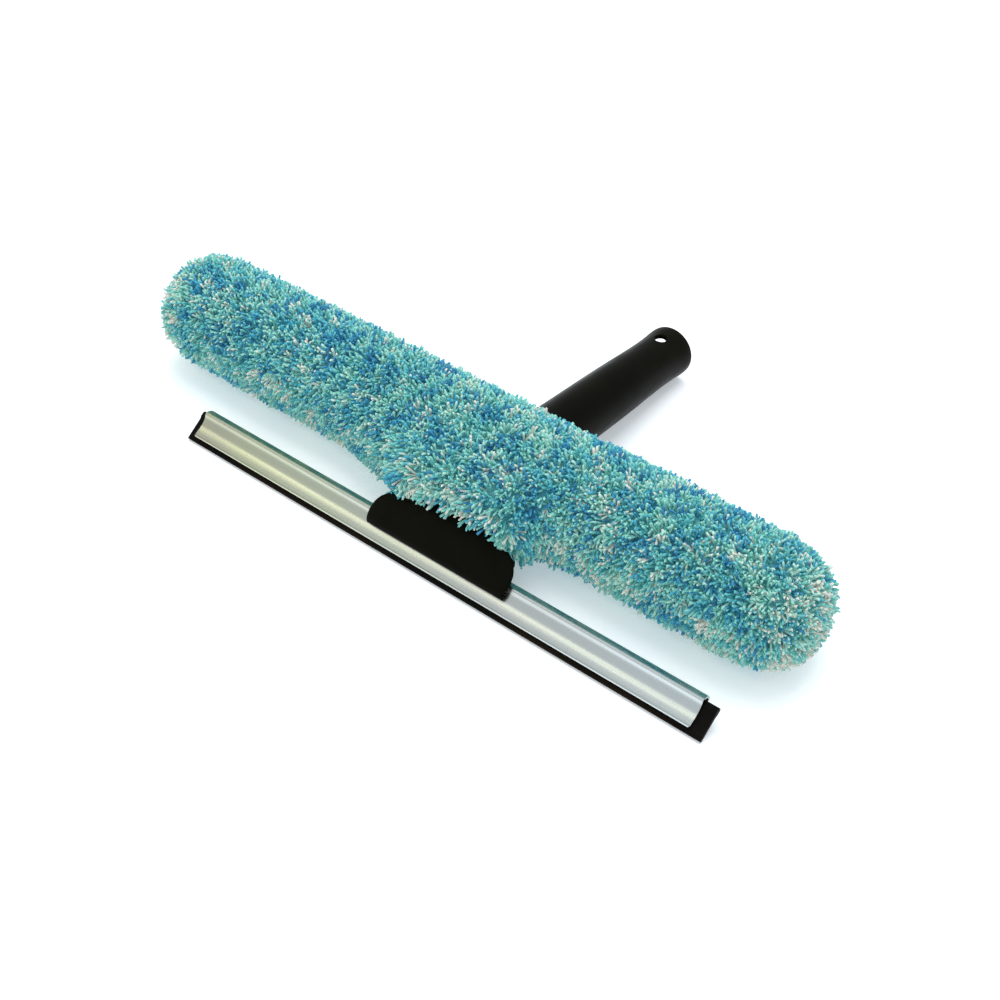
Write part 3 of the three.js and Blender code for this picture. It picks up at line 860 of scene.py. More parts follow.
@dataclass
class Rubber:
    """The blade: a soft lip in front and a bead that the channel holds under its crest."""

    thick_mm: float = 2.0
    flat_mm: float = 13.4
    width_mm: float = 18.4
    bead_mm: float = 3.5

    def section(self) -> list[Point2]:
        """Section with a crisp working edge, two fine ribs on the lip and a round bead behind."""
        half = self.thick_mm / 2
        bead = self.bead_mm / 2
        edge = 0.12
        ribs = [(0.95, half), (1.05, half - 0.14), (1.2, half - 0.14), (1.3, half),
                (1.95, half), (2.05, half - 0.14), (2.2, half - 0.14), (2.3, half)]
        upper = [(edge, half), *ribs, (self.flat_mm - 0.4, half), (self.flat_mm + 0.3, half + 0.1),
                 (self.flat_mm + 1.0, bead - 0.25), (self.flat_mm + 1.7, bead)]
        back = [(self.width_mm - bead * (1 - math.cos(a)) * 0.9, bead * math.sin(a))
                for a in (math.radians(d) for d in range(80, -81, -20))]
        lower = [(y, -z) for y, z in reversed(upper)]
        return [(0.0, half - edge), *upper, *back, *lower, (0.0, -half + edge)]

    def build(self, places: Places) -> bpy.types.Object:
        """Builds the blade at the length that the frame gives."""
        ends = reach_of("rubber_blade", places.blade)
        blade = drawn_out("rubber_blade_fine", self.section(), lambda y, z: ends, places.blade, 40)
        rubber = BladeRubber("blade_rubber").material()
        return finished(blade, rubber, "rubber", "blade_rubber", "rubber_blade")


@dataclass
class Channel:
    """The aluminium channel: rolled lip, fine groove, shallow cove, raised crest and back slope."""

    front_mm: float = 2.8
    back_mm: float = 20.9
    bottom_mm: float = -2.6
    wall_mm: float = 1.2
    grip_mm: float = 1.3
    crest_at_mm: float = 17.6
    crest_mm: float = 4.85
    corner_mm: float = 1.5

    def face(self) -> list[Point2]:
        """Outer face from the lip to the crest."""
        front, crest = self.front_mm, self.crest_at_mm
        lip = spline([(front, 1.75), (front + 0.12, 2.5), (front + 0.6, 2.98), (front + 1.1, 2.85)], 3)
        groove = [(front + 1.35, 2.5), (front + 1.6, 2.46)]
        cove = spline([(front + 2.1, 2.66), (6.6, 2.42), (8.4, 2.26), (10.2, 2.21), (12.0, 2.4),
                       (13.8, 2.88), (15.2, 3.52), (16.2, 4.16)], 4)
        ridge = [(crest - 0.75, 4.62), (crest - 0.35, 4.8), (crest, self.crest_mm), (crest + 0.35, 4.78)]
        return [*lip, *groove, *cove, *ridge]

    def section(self) -> list[Point2]:
        """Closed section: the outer face, the back slope, the underside and the hollow."""
        front, back, bottom, wall = self.front_mm, self.back_mm, self.bottom_mm, self.wall_mm
        slope = spline([(self.crest_at_mm + 0.8, 4.55), (19.4, 3.5), (20.35, 2.05), (20.85, 0.9)], 3)
        under = [(back, 0.2), (back, bottom + 0.9), (back - 0.3, bottom + 0.3), (back - 0.9, bottom),
                 (front + 0.7, bottom), (front + 0.2, bottom + 0.2), (front, bottom + 0.7),
                 (front, -self.grip_mm)]
        floor = bottom + wall - 0.6
        roof = [(18.5, 3.2), (17.6, 3.7), (16.6, 3.35), (15.3, 2.5), (13.8, 1.8), (12.0, self.grip_mm + 0.05),
                (10.0, self.grip_mm)]
        inside = [(front + 2.6, -self.grip_mm), (front + 2.6, floor), (back - wall, floor),
                  (back - wall, 1.2), *roof, (front, self.grip_mm)]
        return [*self.face(), *slope, *under, *inside]

    def build(self, places: Places) -> bpy.types.Object:
        """Builds the channel, with the front corners of both ends rounded in plan."""
        start, stop = reach_of("blade_channel", places.blade)

        def ends(y: float, z: float) -> tuple[float, float]:
            """Pulls the ends in near the front lip and a little at the back."""
            front = max(self.corner_mm - (y - self.front_mm), 0.0)
            back = max(0.5 - (self.back_mm - y), 0.0)
            pull = self.corner_mm - math.sqrt(max(self.corner_mm ** 2 - front ** 2, 0.0))
            pull += 0.5 - math.sqrt(max(0.25 - back ** 2, 0.0))
            return start + pull, stop - pull

        channel = drawn_out("blade_channel_fine", self.section(), ends, places.blade, 24)
        metal = SatinAluminium("channel_aluminium").material()
        return finished(channel, metal, "squeegee_channel", "channel_aluminium", "blade_channel")


# ---- Head -------------------------------------------------------------------------------------


@dataclass
class Head:
    """Hub round the bar, neck and shoe over the channel, spigot in the handle."""

    front_mm: float = 10.2
    top_mm: float = 10.3
    bottom_mm: float = -2.6
    hub_mm: float = 23.0
    hub_half_mm: float = 34.0
    bore_mm: float = 19.3
    spigot_mm: float = 11.4
    spigot_end_mm: float = 58.5
    section_power: float = 3.0
    roll_mm: float = 2.6
    nose_mm: Point2 = (4.2, 2.9)
    crown_mm: float = 0.25
    foot: float = 0.9
    neck_from_mm: float = 39.0
    neck_slope: float = 0.56
    side_mm: tuple[Point2, ...] = (
        (10.2, 45.4), (13.5, 46.2), (17, 46.8), (20, 46.8), (23, 46.3), (26, 44.8), (28, 43.0), (30, 40.6),
        (32, 37.2), (34, 33.2), (36, 29.6), (38, 27.2), (40.5, 26.0), (80, 26.0),
    )

    def half_width(self, w: float) -> float:
        """Half width of the shoe and neck at a distance from the blade's edge."""
        distances, halves = zip(*self.side_mm)
        return float(np.interp(w, distances, halves))

    def ridge(self, w: float) -> float:
        """Height of the middle of the top: a rounded front edge, then a gentle crown."""
        run, fall = self.nose_mm
        rise = min(max((w - self.front_mm) / run, 0.0), 1.0)
        front = self.top_mm - fall * (1 - math.sqrt(1 - (1 - rise) ** 2)) - self.crown_mm
        settle = self.crown_mm * smooth_step((w - self.front_mm) / 9)
        return front + settle - 0.75 * smooth_step((w - 34) / 40)

    def top_at(self, x: float, w: float) -> float:
        """Height of the top surface at a place."""
        share = min(abs(x) / self.half_width(w), 1.0)
        low = self.ridge(w) - self.roll_mm
        return low + (self.ridge(w) - low) * (1 - share ** self.section_power) ** (1 / self.section_power)

    def neck(self, places: Places) -> bpy.types.Object:
        """Shoe and neck as a closed loft of crowned sections."""
        across = 41
        stations = [self.front_mm + d for d in (0, 0.25, 0.6, 1.1, 1.8, 2.7, 3.8, 5.2, 7, 9, 11, 13.5, 16)]
        stations += [27.2 + i for i in range(14)] + [42 + 3.1 * i for i in range(11)]
        points: list[tuple[float, float, float]] = []
        for w in stations:
            floor = self.bottom_mm - max(w - self.neck_from_mm, 0.0) * self.neck_slope
            for i in range(across):
                x = self.half_width(w) * math.sin((2 * i / (across - 1) - 1) * math.pi / 2)
                points.append((x, w, self.top_at(x, w)))
            for side in (1, -1):
                points.append((side * self.half_width(w) * self.foot, w, floor))
        ring = across + 2
        faces: list[Sequence[int]] = []
        for a, b, c, d in ring_faces(len(stations), ring):
            faces += [(a, b, c), (a, c, d)]
        faces.append(range(ring))
        faces.append(range(len(points) - ring, len(points)))
        return mesh_piece("head_hub_fine", points, faces, places.blade)

    def seat(self, channel: Channel, places: Places) -> bpy.types.Object:
        """Cutter for the seat of the channel, open in front and below."""
        back = channel.back_mm + 0.3
        outline = [(-5.0, -8.0), (back, -8.0), (back, 1.2), (20.7, 2.2), (19.7, 3.75), (18.65, 4.95),
                   (17.7, 5.2), (16.6, 4.95), (15.35, 4.1), (13.85, 3.3), (11.95, 2.75), (10, 2.55),
                   (-5.0, 2.55)]
        return drawn_out("seat", outline, lambda y, z: (-60.0, 60.0), places.blade, 1)

    def build(self, places: Places, channel: Channel) -> None:
        """Builds the head from its neck, hub and spigot, then cuts its seat, bore and holes."""
        head = self.neck(places)
        half, edge = self.hub_half_mm, 0.8
        saddle = [(0, -half), (self.hub_mm - edge, -half), (self.hub_mm, -half + edge),
                  (self.hub_mm, half - edge), (self.hub_mm - edge, half), (0, half)]
        carved(head, turned("saddle", saddle, places.bar, "X", 96), "UNION")
        spigot = [(0, 10), (self.spigot_mm, 10), (self.spigot_mm, self.spigot_end_mm - 1),
                  (self.spigot_mm - 1, self.spigot_end_mm), (0, self.spigot_end_mm)]
        carved(head, turned("spigot", spigot, places.grip, "Y", 64), "UNION")
        carved(head, self.seat(channel, places))
        carved(head, turned("bore", rod(self.bore_mm, -60, 60), places.bar, "X", 96))
        for x in (-JAW_SCREW_SIDE_MM, JAW_SCREW_SIDE_MM):
            at = places.blade @ Matrix.Translation((x, JAW_SCREW_AT_MM, 0))
            carved(head, turned("screw_hole", rod(2.3, -20, 5.6), at, "Z", 32))
        soften(head.data, 30)
        plastic = MouldedPlastic("head_black", roughness=0.5, gloss=0.035, grain=0.16).material()
        finished(head, plastic, "head", "head_black", "head_hub")


# ---- Handle -----------------------------------------------------------------------------------


@dataclass
class Handle:
    """Hollow tapered grip with a flared, rounded rim and a cross hole near the mouth."""

    start_mm: float = 23.7
    end_mm: float = 157.7
    hole_mm: float = 3.7
    hole_at_mm: float = 143.2

    def outside(self) -> list[Point2]:
        """Profile of the outside from the head to the rim, as (radius, distance)."""
        taper = spline([(17.2, 28.5), (16.65, 42.0), (16.25, 77.0), (15.95, 95.0), (15.45, 112.0),
                        (15.0, 128.0), (14.92, 137.0), (15.1, 145.0), (15.5, 151.5), (15.55, 154.5)], 6)
        collar = [(16.1, self.start_mm), (16.8, self.start_mm + 0.25), (17.2, self.start_mm + 1.1)]
        rim = [(15.5 - 1.0 * (1 - math.cos(a)), self.end_mm - 1.7 + 1.7 * math.sin(a))
               for a in (math.radians(d) for d in range(0, 91, 15))]
        return [*collar, *taper, *rim]

    def inside(self) -> list[Point2]:
        """Profile of the tapered socket from the mouth inwards."""
        mouth = [(13.4, self.end_mm - 0.02), (12.95, self.end_mm - 0.3), (12.6, self.end_mm - 1.2)]
        return [*mouth, (12.1, 125), (11.55, 95), (11.05, 66), (10.6, 64.4), (0, 64)]

    def build(self, places: Places) -> None:
        """Turns the grip, bores its front end and drills the cross hole."""
        profile = [(0, self.start_mm), *self.outside(), *self.inside()]
        grip = turned("handle_grip_fine", profile, places.grip, "Y", 128)
        carved(grip, turned("front_bore", rod(11.8, 0, 60), places.grip, "Y", 64))
        across = places.grip @ Matrix.Translation((0, self.hole_at_mm, 0))
        rounded = [(self.hole_mm, 14.1), (self.hole_mm + 0.25, 14.6), (self.hole_mm + 1.0, 15.4), (8.0, 30)]
        hole = [(0, -30), *[(r, -h) for r, h in reversed(rounded)], *rounded, (0, 30)]
        carved(grip, turned("cross_hole", hole, across, "Z", 64))
        screw = places.grip @ Matrix.Translation((0, HANDLE_SCREW_AT_MM, 0))
        carved(grip, turned("screw_recess", rod(3.6, -30, -14.3), screw, "Z", 40))
        carved(grip, turned("screw_hole", rod(1.9, -30, -8), screw, "Z", 24))
        soften(grip.data, 32)
        plastic = MouldedPlastic("handle_black", roughness=0.34, gloss=0.035, grain=0.06).material()
        finished(grip, plastic, "head", "handle_black", "handle_grip")


# ---- Small parts ------------------------------------------------------------------------------


@dataclass
class Hardware:
    """Jaw, screws, nuts, bar and the sewn parts that the pile hides: finer edges and finishes."""

    edge_mm: float = 0.35

    def build(self, places: Places) -> None:
        """Dresses each small part."""
        plastic = MouldedPlastic("jaw_black", roughness=0.5, gloss=0.035, grain=0.16).material()
        jaw = chamfered(copy_of("lower_jaw", "lower_jaw_fine"), self.edge_mm, 2)
        finished(jaw, plastic, "clamp_jaw", "head_black", "lower_jaw")
        self.screws(places)
        grey = MouldedPlastic("bar_grey", (0.045, 0.048, 0.052), (0.07, 0.072, 0.075), 0.55).material()
        brass = MetalPart("nut_brass", (0.66, 0.52, 0.26)).material()
        cloth = WovenCloth("woven_backing", (0.18, 0.55, 0.58), (0.08, 0.38, 0.46)).material()
        tape = WovenCloth("binding_tape", (0.035, 0.20, 0.38), (0.012, 0.09, 0.19), 2200).material()
        hooks = WovenCloth("hook_tape", (0.028, 0.03, 0.034), (0.01, 0.011, 0.013), 2600).material()
        loops = WovenCloth("loop_tape", (0.72, 0.73, 0.71), (0.5, 0.51, 0.5), 2600).material()
        dressed = {
            grey: ("cross_bar", "bar_cap_left", "bar_cap_right"),
            brass: ("jaw_nut_left", "jaw_nut_right"),
            cloth: ("sleeve_backing", "sleeve_end_left", "sleeve_end_right"),
            tape: ("slit_binding_front", "slit_binding_rear"),
            hooks: ("hook_tape_left", "hook_tape_right"),
            loops: ("loop_tape_left", "loop_tape_right"),
        }
        for material, nodes in dressed.items():
            for node in nodes:
                slots = bpy.data.objects[node].data.materials
                slots.clear()
                slots.append(material)

    def screws(self, places: Places) -> None:
        """Pan head screws with a cross recess, where the frame has them."""
        steel = MetalPart("screw_steel", (0.60, 0.61, 0.62)).material()
        for side, x in (("left", -JAW_SCREW_SIDE_MM), ("right", JAW_SCREW_SIDE_MM)):
            at = places.blade @ Matrix.Translation((x, JAW_SCREW_AT_MM, -5.85))
            screw = self.screw(f"jaw_screw_{side}_fine", at, head=3.5, height=2.0, shank=1.9, length=10.85)
            finished(screw, steel, "clamp_jaw", "screw_steel", f"jaw_screw_{side}")
        grip = places.grip @ Matrix.Translation((0, HANDLE_SCREW_AT_MM, -14.6))
        lock = places.bar @ Matrix.Translation((0, 0, -21.3))
        for node, at, length in (("handle_screw", grip, 9), ("bar_lock_screw", lock, 6.5)):
            screw = self.screw(f"{node}_fine", at, head=3.2, height=1.7, shank=1.5, length=length)
            finished(screw, steel, "head", "screw_steel", node)

    def screw(self, name: str, at: Matrix, head: float, height: float, shank: float,
              length: float) -> bpy.types.Object:
        """A screw whose head points down its own z axis."""
        dome = [(head * math.cos(a), -height * math.sin(a))
                for a in (math.radians(d) for d in range(75, -1, -15))]
        body = turned(name, [(0, -height), *dome, (head, -0.02), (shank, 0), (shank, length - shank),
                             (shank * 0.45, length), (0, length)], at, "Z", 40)
        for turn in (0, 90):
            bar = [(-0.35, -height - 1), (0.35, -height - 1), (0.35, -height * 0.45), (-0.35, -height * 0.45)]
            across = at @ Matrix.Rotation(math.radians(turn), 4, "Z")
            carved(body, drawn_out("recess", bar, lambda y, z: (-head * 0.5, head * 0.5), across, 1))
        soften(body.data, 30)
        return body


# ---- Washer sleeve ----------------------------------------------------------------------------


@dataclass
class Sleeve:
    """The washer sleeve: a felted ground and eight shades of planted tufts."""

    radius_mm: float = 33.6
    left_round_mm: float = 28.0
    right_round_mm: float = 40.0
    end_power: float = 2.8
    left_inset_mm: float = 5.1
    right_inset_mm: float = 7.6
    bulge_mm: float = 7.8
    bulge_middle_mm: float = -19.0
    bulge_half_mm: float = 80.0
    bulge_flat_mm: float = 30.0
    bulge_towards: float = math.radians(200)
    bulge_spread: float = math.radians(150)
    visor_mm: float = 11.2
    visor_middle_mm: float = -2.0
    visor_half_mm: float = 50.0
    visor_flat_mm: float = 31.0
    visor_from: float = math.radians(212)
    pile_mm: float = 5.6
    strand_mm: float = 6.5
    strand_width_mm: float = 0.74
    spacing_mm: float = 1.95
    seed: int = 5
    table_gap_mm: float = 0.35
    head_gap_mm: float = 0.3
    jaw_room_mm: float = 12.0
    side_band_mm: float = 5.0
    felt_mm: float = 1.2
    end_crowding: float = 0.6
    neck_gap_mm: float = 2.5
    neck_end_mm: float = 69.0
    neck_top_mm: float = 10.9
    grip_hole_mm: float = 17.8
    grip_from_mm: float = 10.0
    head_half_mm: float = 48.0
    head_span_mm: Point2 = (8.0, 66.0)
    head_top_mm: float = 12.5
    grip_span_mm: Point2 = (18.0, 77.0)
    grip_wall_mm: tuple[Point2, ...] = ((22, 16.4), (24, 17.5), (29, 17.5), (42, 16.95), (77, 16.6))
    pale_end_mm: float = 34.0
    front_at: float = math.radians(225)
    skirt_at: float = 190.0
    skirt_spread: float = 41.0
    skirt_half_mm: float = 44.0
    skirt_fade_mm: float = 14.0
    models: int = 6
    strands: int = 3
    sides: int = 3
    ring_heights: tuple[float, ...] = (0.0, 0.45, 0.86, 1.0)
    ring_widths: tuple[float, ...] = (0.75, 1.0, 1.12, 0.8)
    buried_corners: int = 7

    def skin(self, x: float, angle: float, left: float, right: float) -> float:
        """Radius of the ground that the tufts stand on.

        Args:
            x: place along the bar, in millimetres from the hub.
            angle: direction round the bar, from the handle's side upwards.
            left: x of the ground's left end.
            right: x of its right end.

        Returns:
            Radius in millimetres.
        """
        near_left = min((x - left) / self.left_round_mm, 1.0)
        near_right = min((right - x) / self.right_round_mm, 1.0)
        nearest = max(min(near_left, near_right), 0.0)
        body = (self.radius_mm - self.pile_mm) * (1 - (1 - nearest) ** self.end_power) ** (1 / self.end_power)
        along = smooth_step((self.bulge_half_mm - abs(x - self.bulge_middle_mm))
                            / (self.bulge_half_mm - self.bulge_flat_mm))
        turn = math.atan2(math.sin(angle - self.bulge_towards), math.cos(angle - self.bulge_towards))
        if abs(turn) > self.bulge_spread / 2:
            return body
        visor = smooth_step((self.visor_half_mm - abs(x - self.visor_middle_mm))
                            / (self.visor_half_mm - self.visor_flat_mm))
        above = smooth_step((self.visor_from - angle % (2 * math.pi)) / math.radians(12))
        reach = self.bulge_mm * along + self.visor_mm * visor * above
        return body + reach * math.cos(turn * math.pi / self.bulge_spread)

    def carrier(self, places: Places, head: Head) -> bpy.types.Object:
        """The surface that the tufts stand on, open where the neck and the handle come through."""
        left, right = reach_of("sleeve_pile", places.bar)
        left += self.left_inset_mm
        right -= self.right_inset_mm
        rows, around = 160, 84
        to_blade = places.blade.inverted() @ places.bar
        to_grip = places.grip.inverted() @ places.bar
        table = self.felt_mm - places.bar.translation.z / MM
        points: list[tuple[float, float, float]] = []
        for j in range(rows + 1):
            t = j / rows
            eased = t - self.end_crowding * math.sin(2 * math.pi * t) / (2 * math.pi)
            x = left + (right - left) * eased
            for i in range(around):
                a = 2 * math.pi * i / around
                r = self.skin(x, a, left, right)
                points.append((x, r * math.cos(a), max(r * math.sin(a), table)))
        faces = []
        for face in ring_faces(rows + 1, around):
            centre = sum((Vector(points[c]) for c in face), Vector()) / 4
            blade, grip = to_blade @ centre, to_grip @ centre
            beside = abs(blade.x) < head.half_width(blade.y) + self.neck_gap_mm
            in_height = -self.jaw_room_mm < blade.z < self.neck_top_mm
            in_neck = beside and blade.y < self.neck_end_mm and in_height
            in_grip = math.hypot(grip.x, grip.z) < self.grip_hole_mm and grip.y > self.grip_from_mm
            if not in_neck and not in_grip:
                faces.append(face)
        ground = mesh_piece("pile_ground", points, clean_faces(points, faces), places.bar, 60)
        self.mark(ground, places, left, right)
        return ground

    def mark(self, ground: bpy.types.Object, places: Places, left: float, right: float) -> None:
        """Writes on the ground where the yarn is paler and how long it is at each place: paler towards the
        ends, and paler on the lower front side as painted bounce light from the table.

        Args:
            ground: the carrier.
            places: frames of the tool.
            left: x of the left end.
            right: x of the right end.
        """
        back = places.bar.inverted()
        pale, long = [], []
        for vertex in ground.data.vertices:
            at = back @ vertex.co
            angle = math.atan2(at.z, at.y)
            end = 1 - smooth_step(min(at.x - left, right - at.x) / self.pale_end_mm)
            front = max(math.cos(angle - self.front_at), 0.0)
            skirt = max(math.cos((angle - math.radians(self.skirt_at)) * 2.2), 0.0)
            skirt *= 1 - smooth_step((abs(at.x) - self.skirt_half_mm) / self.skirt_fade_mm)
            if abs(math.degrees(angle) % 360 - self.skirt_at) >= self.skirt_spread:
                skirt = 0.0
            # paler towards the ends; the front term is painted bounce light from the table on the lower front
            # side
            pale.append(1.1 * end + 0.75 * front ** 2 - 0.35)
            long.append(min(0.45 * front + 0.7 * skirt - 0.45 * end, 1.2))
        for name, values in (("pale", pale), ("long", long)):
            ground.data.attributes.new(name, "FLOAT", "POINT").data.foreach_set("value", values)

    def tufts(self) -> bpy.types.Collection:
        """A few different tufts, each of three twisted strands that part towards their tips."""
        shelf = bpy.data.collections.new("tuft_models")
        draw = np.random.default_rng(self.seed)
        for index in range(self.models):
            points: list[tuple[float, float, float]] = []
            faces: list[tuple[int, ...]] = []
            along: list[float] = []
            for strand in range(self.strands):
                self.strand(draw, strand, points, faces, along)
            mesh = bpy.data.meshes.new(f"tuft_{index}")
            mesh.from_pydata([Vector(p) * MM for p in points], [], faces)
            mesh.attributes.new("along", "FLOAT", "POINT").data.foreach_set("value", along)
            mesh.polygons.foreach_set("use_smooth", [True] * len(mesh.polygons))
            shelf.objects.link(bpy.data.objects.new(f"tuft_{index}", mesh))
        return shelf

    def strand(self, draw: np.random.Generator, turn: int, points: list, faces: list, along: list) -> None:
        """Adds one strand: a ring of corners at each height, thickest near its blunt tip.

        Args:
            draw: source of the strand's own bend and length.
            turn: which of the three strands it is.
            points: corners so far.
            faces: faces so far.
            along: how far up its strand each corner is, from 0 to 1.
        """
        lean = math.radians(draw.uniform(8, 36))
        azimuth = math.radians(360 / self.strands * turn + draw.uniform(-45, 45))
        curl = draw.uniform(-0.14, 0.2)
        length = self.strand_mm * draw.uniform(0.84, 1.06)
        first = len(points)
        for t, width in zip(self.ring_heights, self.ring_widths):
            reach = math.sin(lean) * length * t + curl * length * t * t + 0.4
            height = math.cos(lean) * length * t
            centre = Vector((math.cos(azimuth) * reach, math.sin(azimuth) * reach, height))
            for side in range(self.sides):
                a = 2 * math.pi * side / self.sides + azimuth + t * 1.4
                radius = self.strand_width_mm * width
                points.append((centre.x + radius * math.cos(a), centre.y + radius * math.sin(a), centre.z))
                along.append(t)
        for face in ring_faces(len(self.ring_heights), self.sides):
            faces.append(tuple(first + corner for corner in face))
        faces.append(tuple(range(len(points) - self.sides, len(points))))

    def comb(self, piece: bpy.types.Object, places: Places, head: Head) -> None:
        """Lays strands on the table, over the shoe and round the handle instead of through them."""
        mesh = piece.data
        self.thin_out(mesh, places, head)
        co = np.zeros(len(mesh.vertices) * 3)
        mesh.vertices.foreach_get("co", co)
        co = co.reshape(-1, 3)
        co = self.clear_of_handle(co, places)
        co = self.clear_of_neck(co, places, head)
        co[:, 2] = np.maximum(co[:, 2], self.table_gap_mm * MM)
        mesh.vertices.foreach_set("co", co.ravel())
        mesh.update()

    def thin_out(self, mesh: bpy.types.Mesh, places: Places, head: Head) -> None:
        """Takes away the strands that lie mostly inside the shoe or neck, where no yarn can grow."""
        co = np.empty(len(mesh.vertices) * 3, dtype=np.float32)
        mesh.vertices.foreach_get("co", co)
        local = moved(co.reshape(-1, 3), places.blade.inverted())
        x, w, n = local[:, 0], local[:, 1], local[:, 2]
        inside = np.zeros(len(x), dtype=bool)
        for i in self.near_head(local):
            inside[i] = abs(x[i]) < head.half_width(w[i]) and n[i] < head.top_at(x[i], w[i])
        corners = self.sides * len(self.ring_heights)
        buried = inside.reshape(-1, corners).sum(axis=1) >= self.buried_corners
        lost = np.nonzero(np.repeat(buried, corners))[0]
        work = bmesh.new()
        work.from_mesh(mesh)
        work.verts.ensure_lookup_table()
        bmesh.ops.delete(work, geom=[work.verts[i] for i in lost], context="VERTS")
        work.to_mesh(mesh)
        work.free()
        LOG.info("thinned %d strands out of the head", int(buried.sum()))

    def near_head(self, local: np.ndarray) -> np.ndarray:
        """Which points, in the blade's millimetres, lie in the box round the shoe, neck and jaw."""
        x, w, n = local[:, 0], local[:, 1], local[:, 2]
        start, end = self.head_span_mm
        inside = (np.abs(x) < self.head_half_mm) & (w > start) & (w < end)
        return np.nonzero(inside & (n > -self.jaw_room_mm) & (n < self.head_top_mm))[0]

    def clear_of_handle(self, co: np.ndarray, places: Places) -> np.ndarray:
        """Moves corners that are inside the handle out to its surface."""
        local = moved(co, places.grip.inverted())
        reach = np.hypot(local[:, 0], local[:, 2])
        start, end = self.grip_span_mm
        wall = np.interp(local[:, 1], *zip(*self.grip_wall_mm))
        inside = (reach < wall) & (local[:, 1] > start) & (local[:, 1] < end)
        grow = np.where(inside, wall / np.maximum(reach, 1e-6), 1.0)
        local[:, 0] *= grow
        local[:, 2] *= grow
        return moved(local, places.grip)

    def clear_of_neck(self, co: np.ndarray, places: Places, head: Head) -> np.ndarray:
        """Moves corners that are inside the shoe or neck to the nearest of its top, sides and underside."""
        local = moved(co, places.blade.inverted())
        x, w, n = local[:, 0], local[:, 1], local[:, 2]
        for i in self.near_head(local):
            half = head.half_width(w[i]) + self.head_gap_mm
            if abs(x[i]) >= half:
                continue
            top = head.top_at(x[i], w[i]) + self.head_gap_mm
            to_top, to_side, to_floor = top - n[i], half - abs(x[i]), n[i] + self.jaw_room_mm
            if to_top <= 0:
                continue
            if to_side > self.side_band_mm and to_top <= min(to_side, to_floor):
                n[i] = top
            elif to_side <= to_floor:
                x[i] = math.copysign(half, x[i])
            else:
                n[i] = -self.jaw_room_mm
        return moved(local, places.blade)

    def build(self, places: Places, head: Head) -> None:
        """Builds the ground and plants each shade of yarn on it."""
        carrier = self.carrier(places, head)
        shelf = self.tufts()
        recipe = tuft_recipe()
        edge = 0.0
        total = sum(shade.share for shade in YarnShade)
        for shade in YarnShade:
            piece = object_from(f"pile_{shade.label}", carrier.data.copy())
            yarn = shade.finish().material()
            recipe.run(piece, Spacing=self.spacing_mm * MM, Density=9e5, Seed=self.seed, Pick_Low=edge,
                       Pick_High=edge + shade.share / total, Patch_Scale=110.0, Lean=0.8, Droop=0.14,
                       Tufts=shelf, Material=yarn)
            edge += shade.share / total
            self.comb(piece, places, head)
            finished(piece, yarn, "head", "microfibre_pile", "sleeve_pile")
        for model in tuple(shelf.objects):
            bpy.data.objects.remove(model)
        bpy.data.collections.remove(shelf)
        thick = carrier.modifiers.new("thickness", "SOLIDIFY")
        thick.thickness = self.felt_mm * MM
        thick.offset = -1
        settled(carrier)
        felt = Felt("pile_felt", (0.20, 0.62, 0.66), (0.10, 0.44, 0.54)).material()
        finished(carrier, felt, "head", "microfibre_pile", "sleeve_pile")


def moved(co: np.ndarray, matrix: Matrix) -> np.ndarray:
    """Carries an array of points through a matrix."""
    m = np.array(matrix)
    return co @ m[:3, :3].T + m[:3, 3]


# ---- Studio -----------------------------------------------------------------------------------


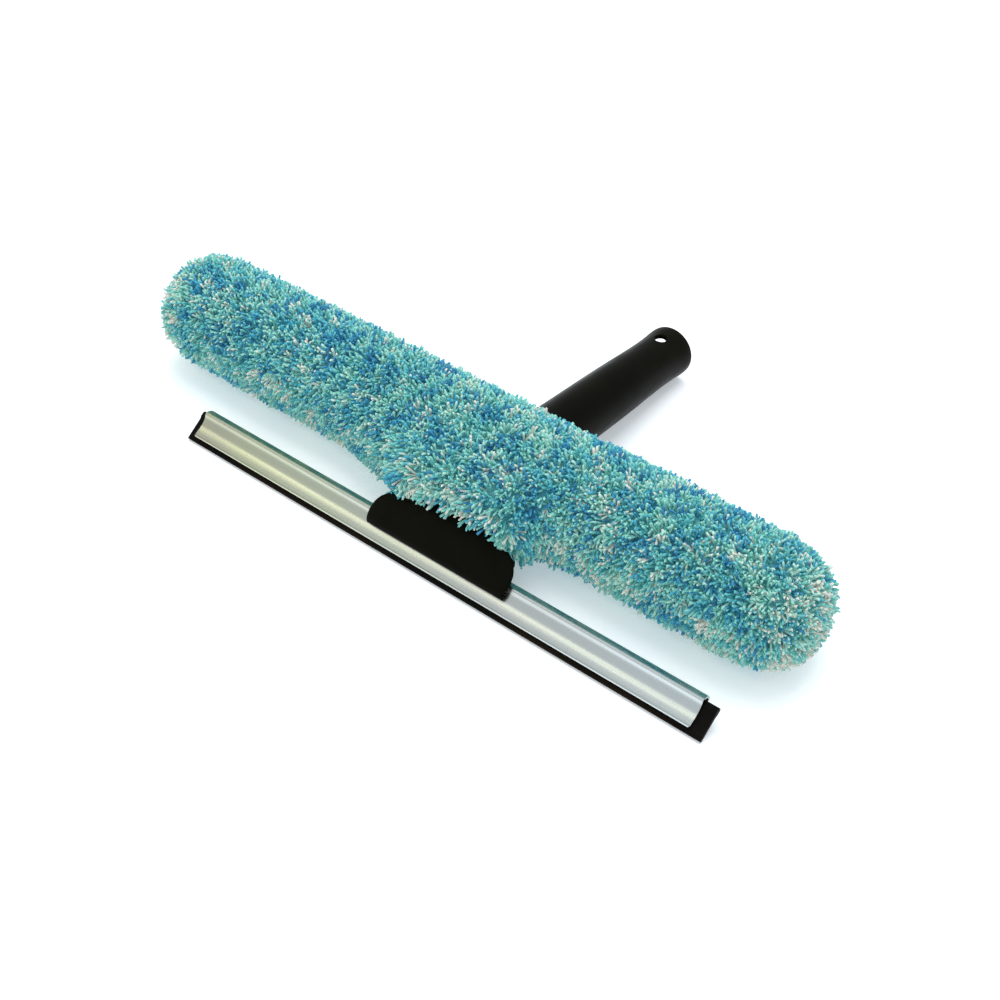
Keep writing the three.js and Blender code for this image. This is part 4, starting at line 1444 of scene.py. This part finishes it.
@dataclass
class Studio:
    """Pale floor, soft lights and the camera."""

    camera_from: Vector
    camera_to: Vector
    lens: float = 51.6

    def floor(self) -> None:
        """A plain white table that glows a little, so that only close shadows show."""
        half = 4.0
        corners = [(-half, -half, 0), (half, -half, 0), (half, half, 0), (-half, half, 0)]
        floor = mesh_piece("floor", corners, [(0, 1, 2, 3)], Matrix.Identity(4))
        shader = Shader("floor_white")
        shader.feed(shader.surface, Base_Color=(0.88, 0.91, 0.94, 1), Roughness=0.9)
        shader.feed(shader.surface, Emission_Color=(0.93, 0.97, 1.0, 1), Emission_Strength=0.30)
        floor.data.materials.append(shader.material)

    def light(self, name: str, place: Sequence[float], size: Point2, power: float,
              colour: Colour = (1, 1, 1)) -> bpy.types.Object:
        """An oblong area light above the tool, its length along x, tilted in y and z to face it.

        Args:
            name: name of the light.
            place: where its middle is.
            size: length and width.
            power: watts.
            colour: tint.

        Returns:
            The light.
        """
        data = bpy.data.lights.new(name, "AREA")
        data.shape = "RECTANGLE"
        data.size, data.size_y = size
        data.energy = power
        data.color = colour
        lamp = bpy.data.objects.new(name, data)
        lamp.location = place
        lamp.rotation_euler = (-math.atan2(place[1], place[2]), 0, 0)
        bpy.context.scene.collection.objects.link(lamp)
        return lamp

    def camera(self) -> None:
        """The camera, level and aimed at the tool."""
        data = bpy.data.cameras.new("camera")
        data.lens = self.lens
        data.clip_start = 0.01
        camera = bpy.data.objects.new("camera", data)
        camera.location = self.camera_from
        camera.rotation_euler = (self.camera_to - self.camera_from).to_track_quat("-Z", "Y").to_euler()
        bpy.context.scene.collection.objects.link(camera)
        bpy.context.scene.camera = camera

    def build(self) -> None:
        """Sets up floor, lights, sky and camera."""
        scene = bpy.context.scene
        scene.view_settings.view_transform = "Standard"
        world = bpy.data.worlds.new("sky")
        world.use_nodes = True
        sky = world.node_tree.nodes["Background"].inputs
        sky["Color"].default_value = (0.93, 0.97, 1.0, 1)
        sky["Strength"].default_value = 0.78
        scene.world = world
        self.floor()
        key = self.light("key", (-0.25, 0.45, 1.55), (1.6, 1.3), 20.0)
        key.visible_glossy = False
        self.light("strip", (-0.8, -0.764, 1.35), (1.9, 0.22), 1.9, (1.0, 0.96, 0.70))
        self.camera()


def main() -> None:
    """Builds the tool around the frame and reports each piece."""
    logging.basicConfig(level=logging.INFO, format="%(name)s: %(message)s")
    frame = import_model()
    places = Places.from_frame(frame)
    hub = places.bar.translation
    Studio(camera_from=hub + Vector((0.3533, -0.4517, 0.5083)),
           camera_to=hub + Vector((0.0056, -0.0156, -0.0118))).build()
    head, channel = Head(), Channel()
    Rubber().build(places)
    channel.build(places)
    head.build(places, channel)
    Handle().build(places)
    Hardware().build(places)
    Sleeve().build(places, head)


if __name__ == "__main__":
    main()
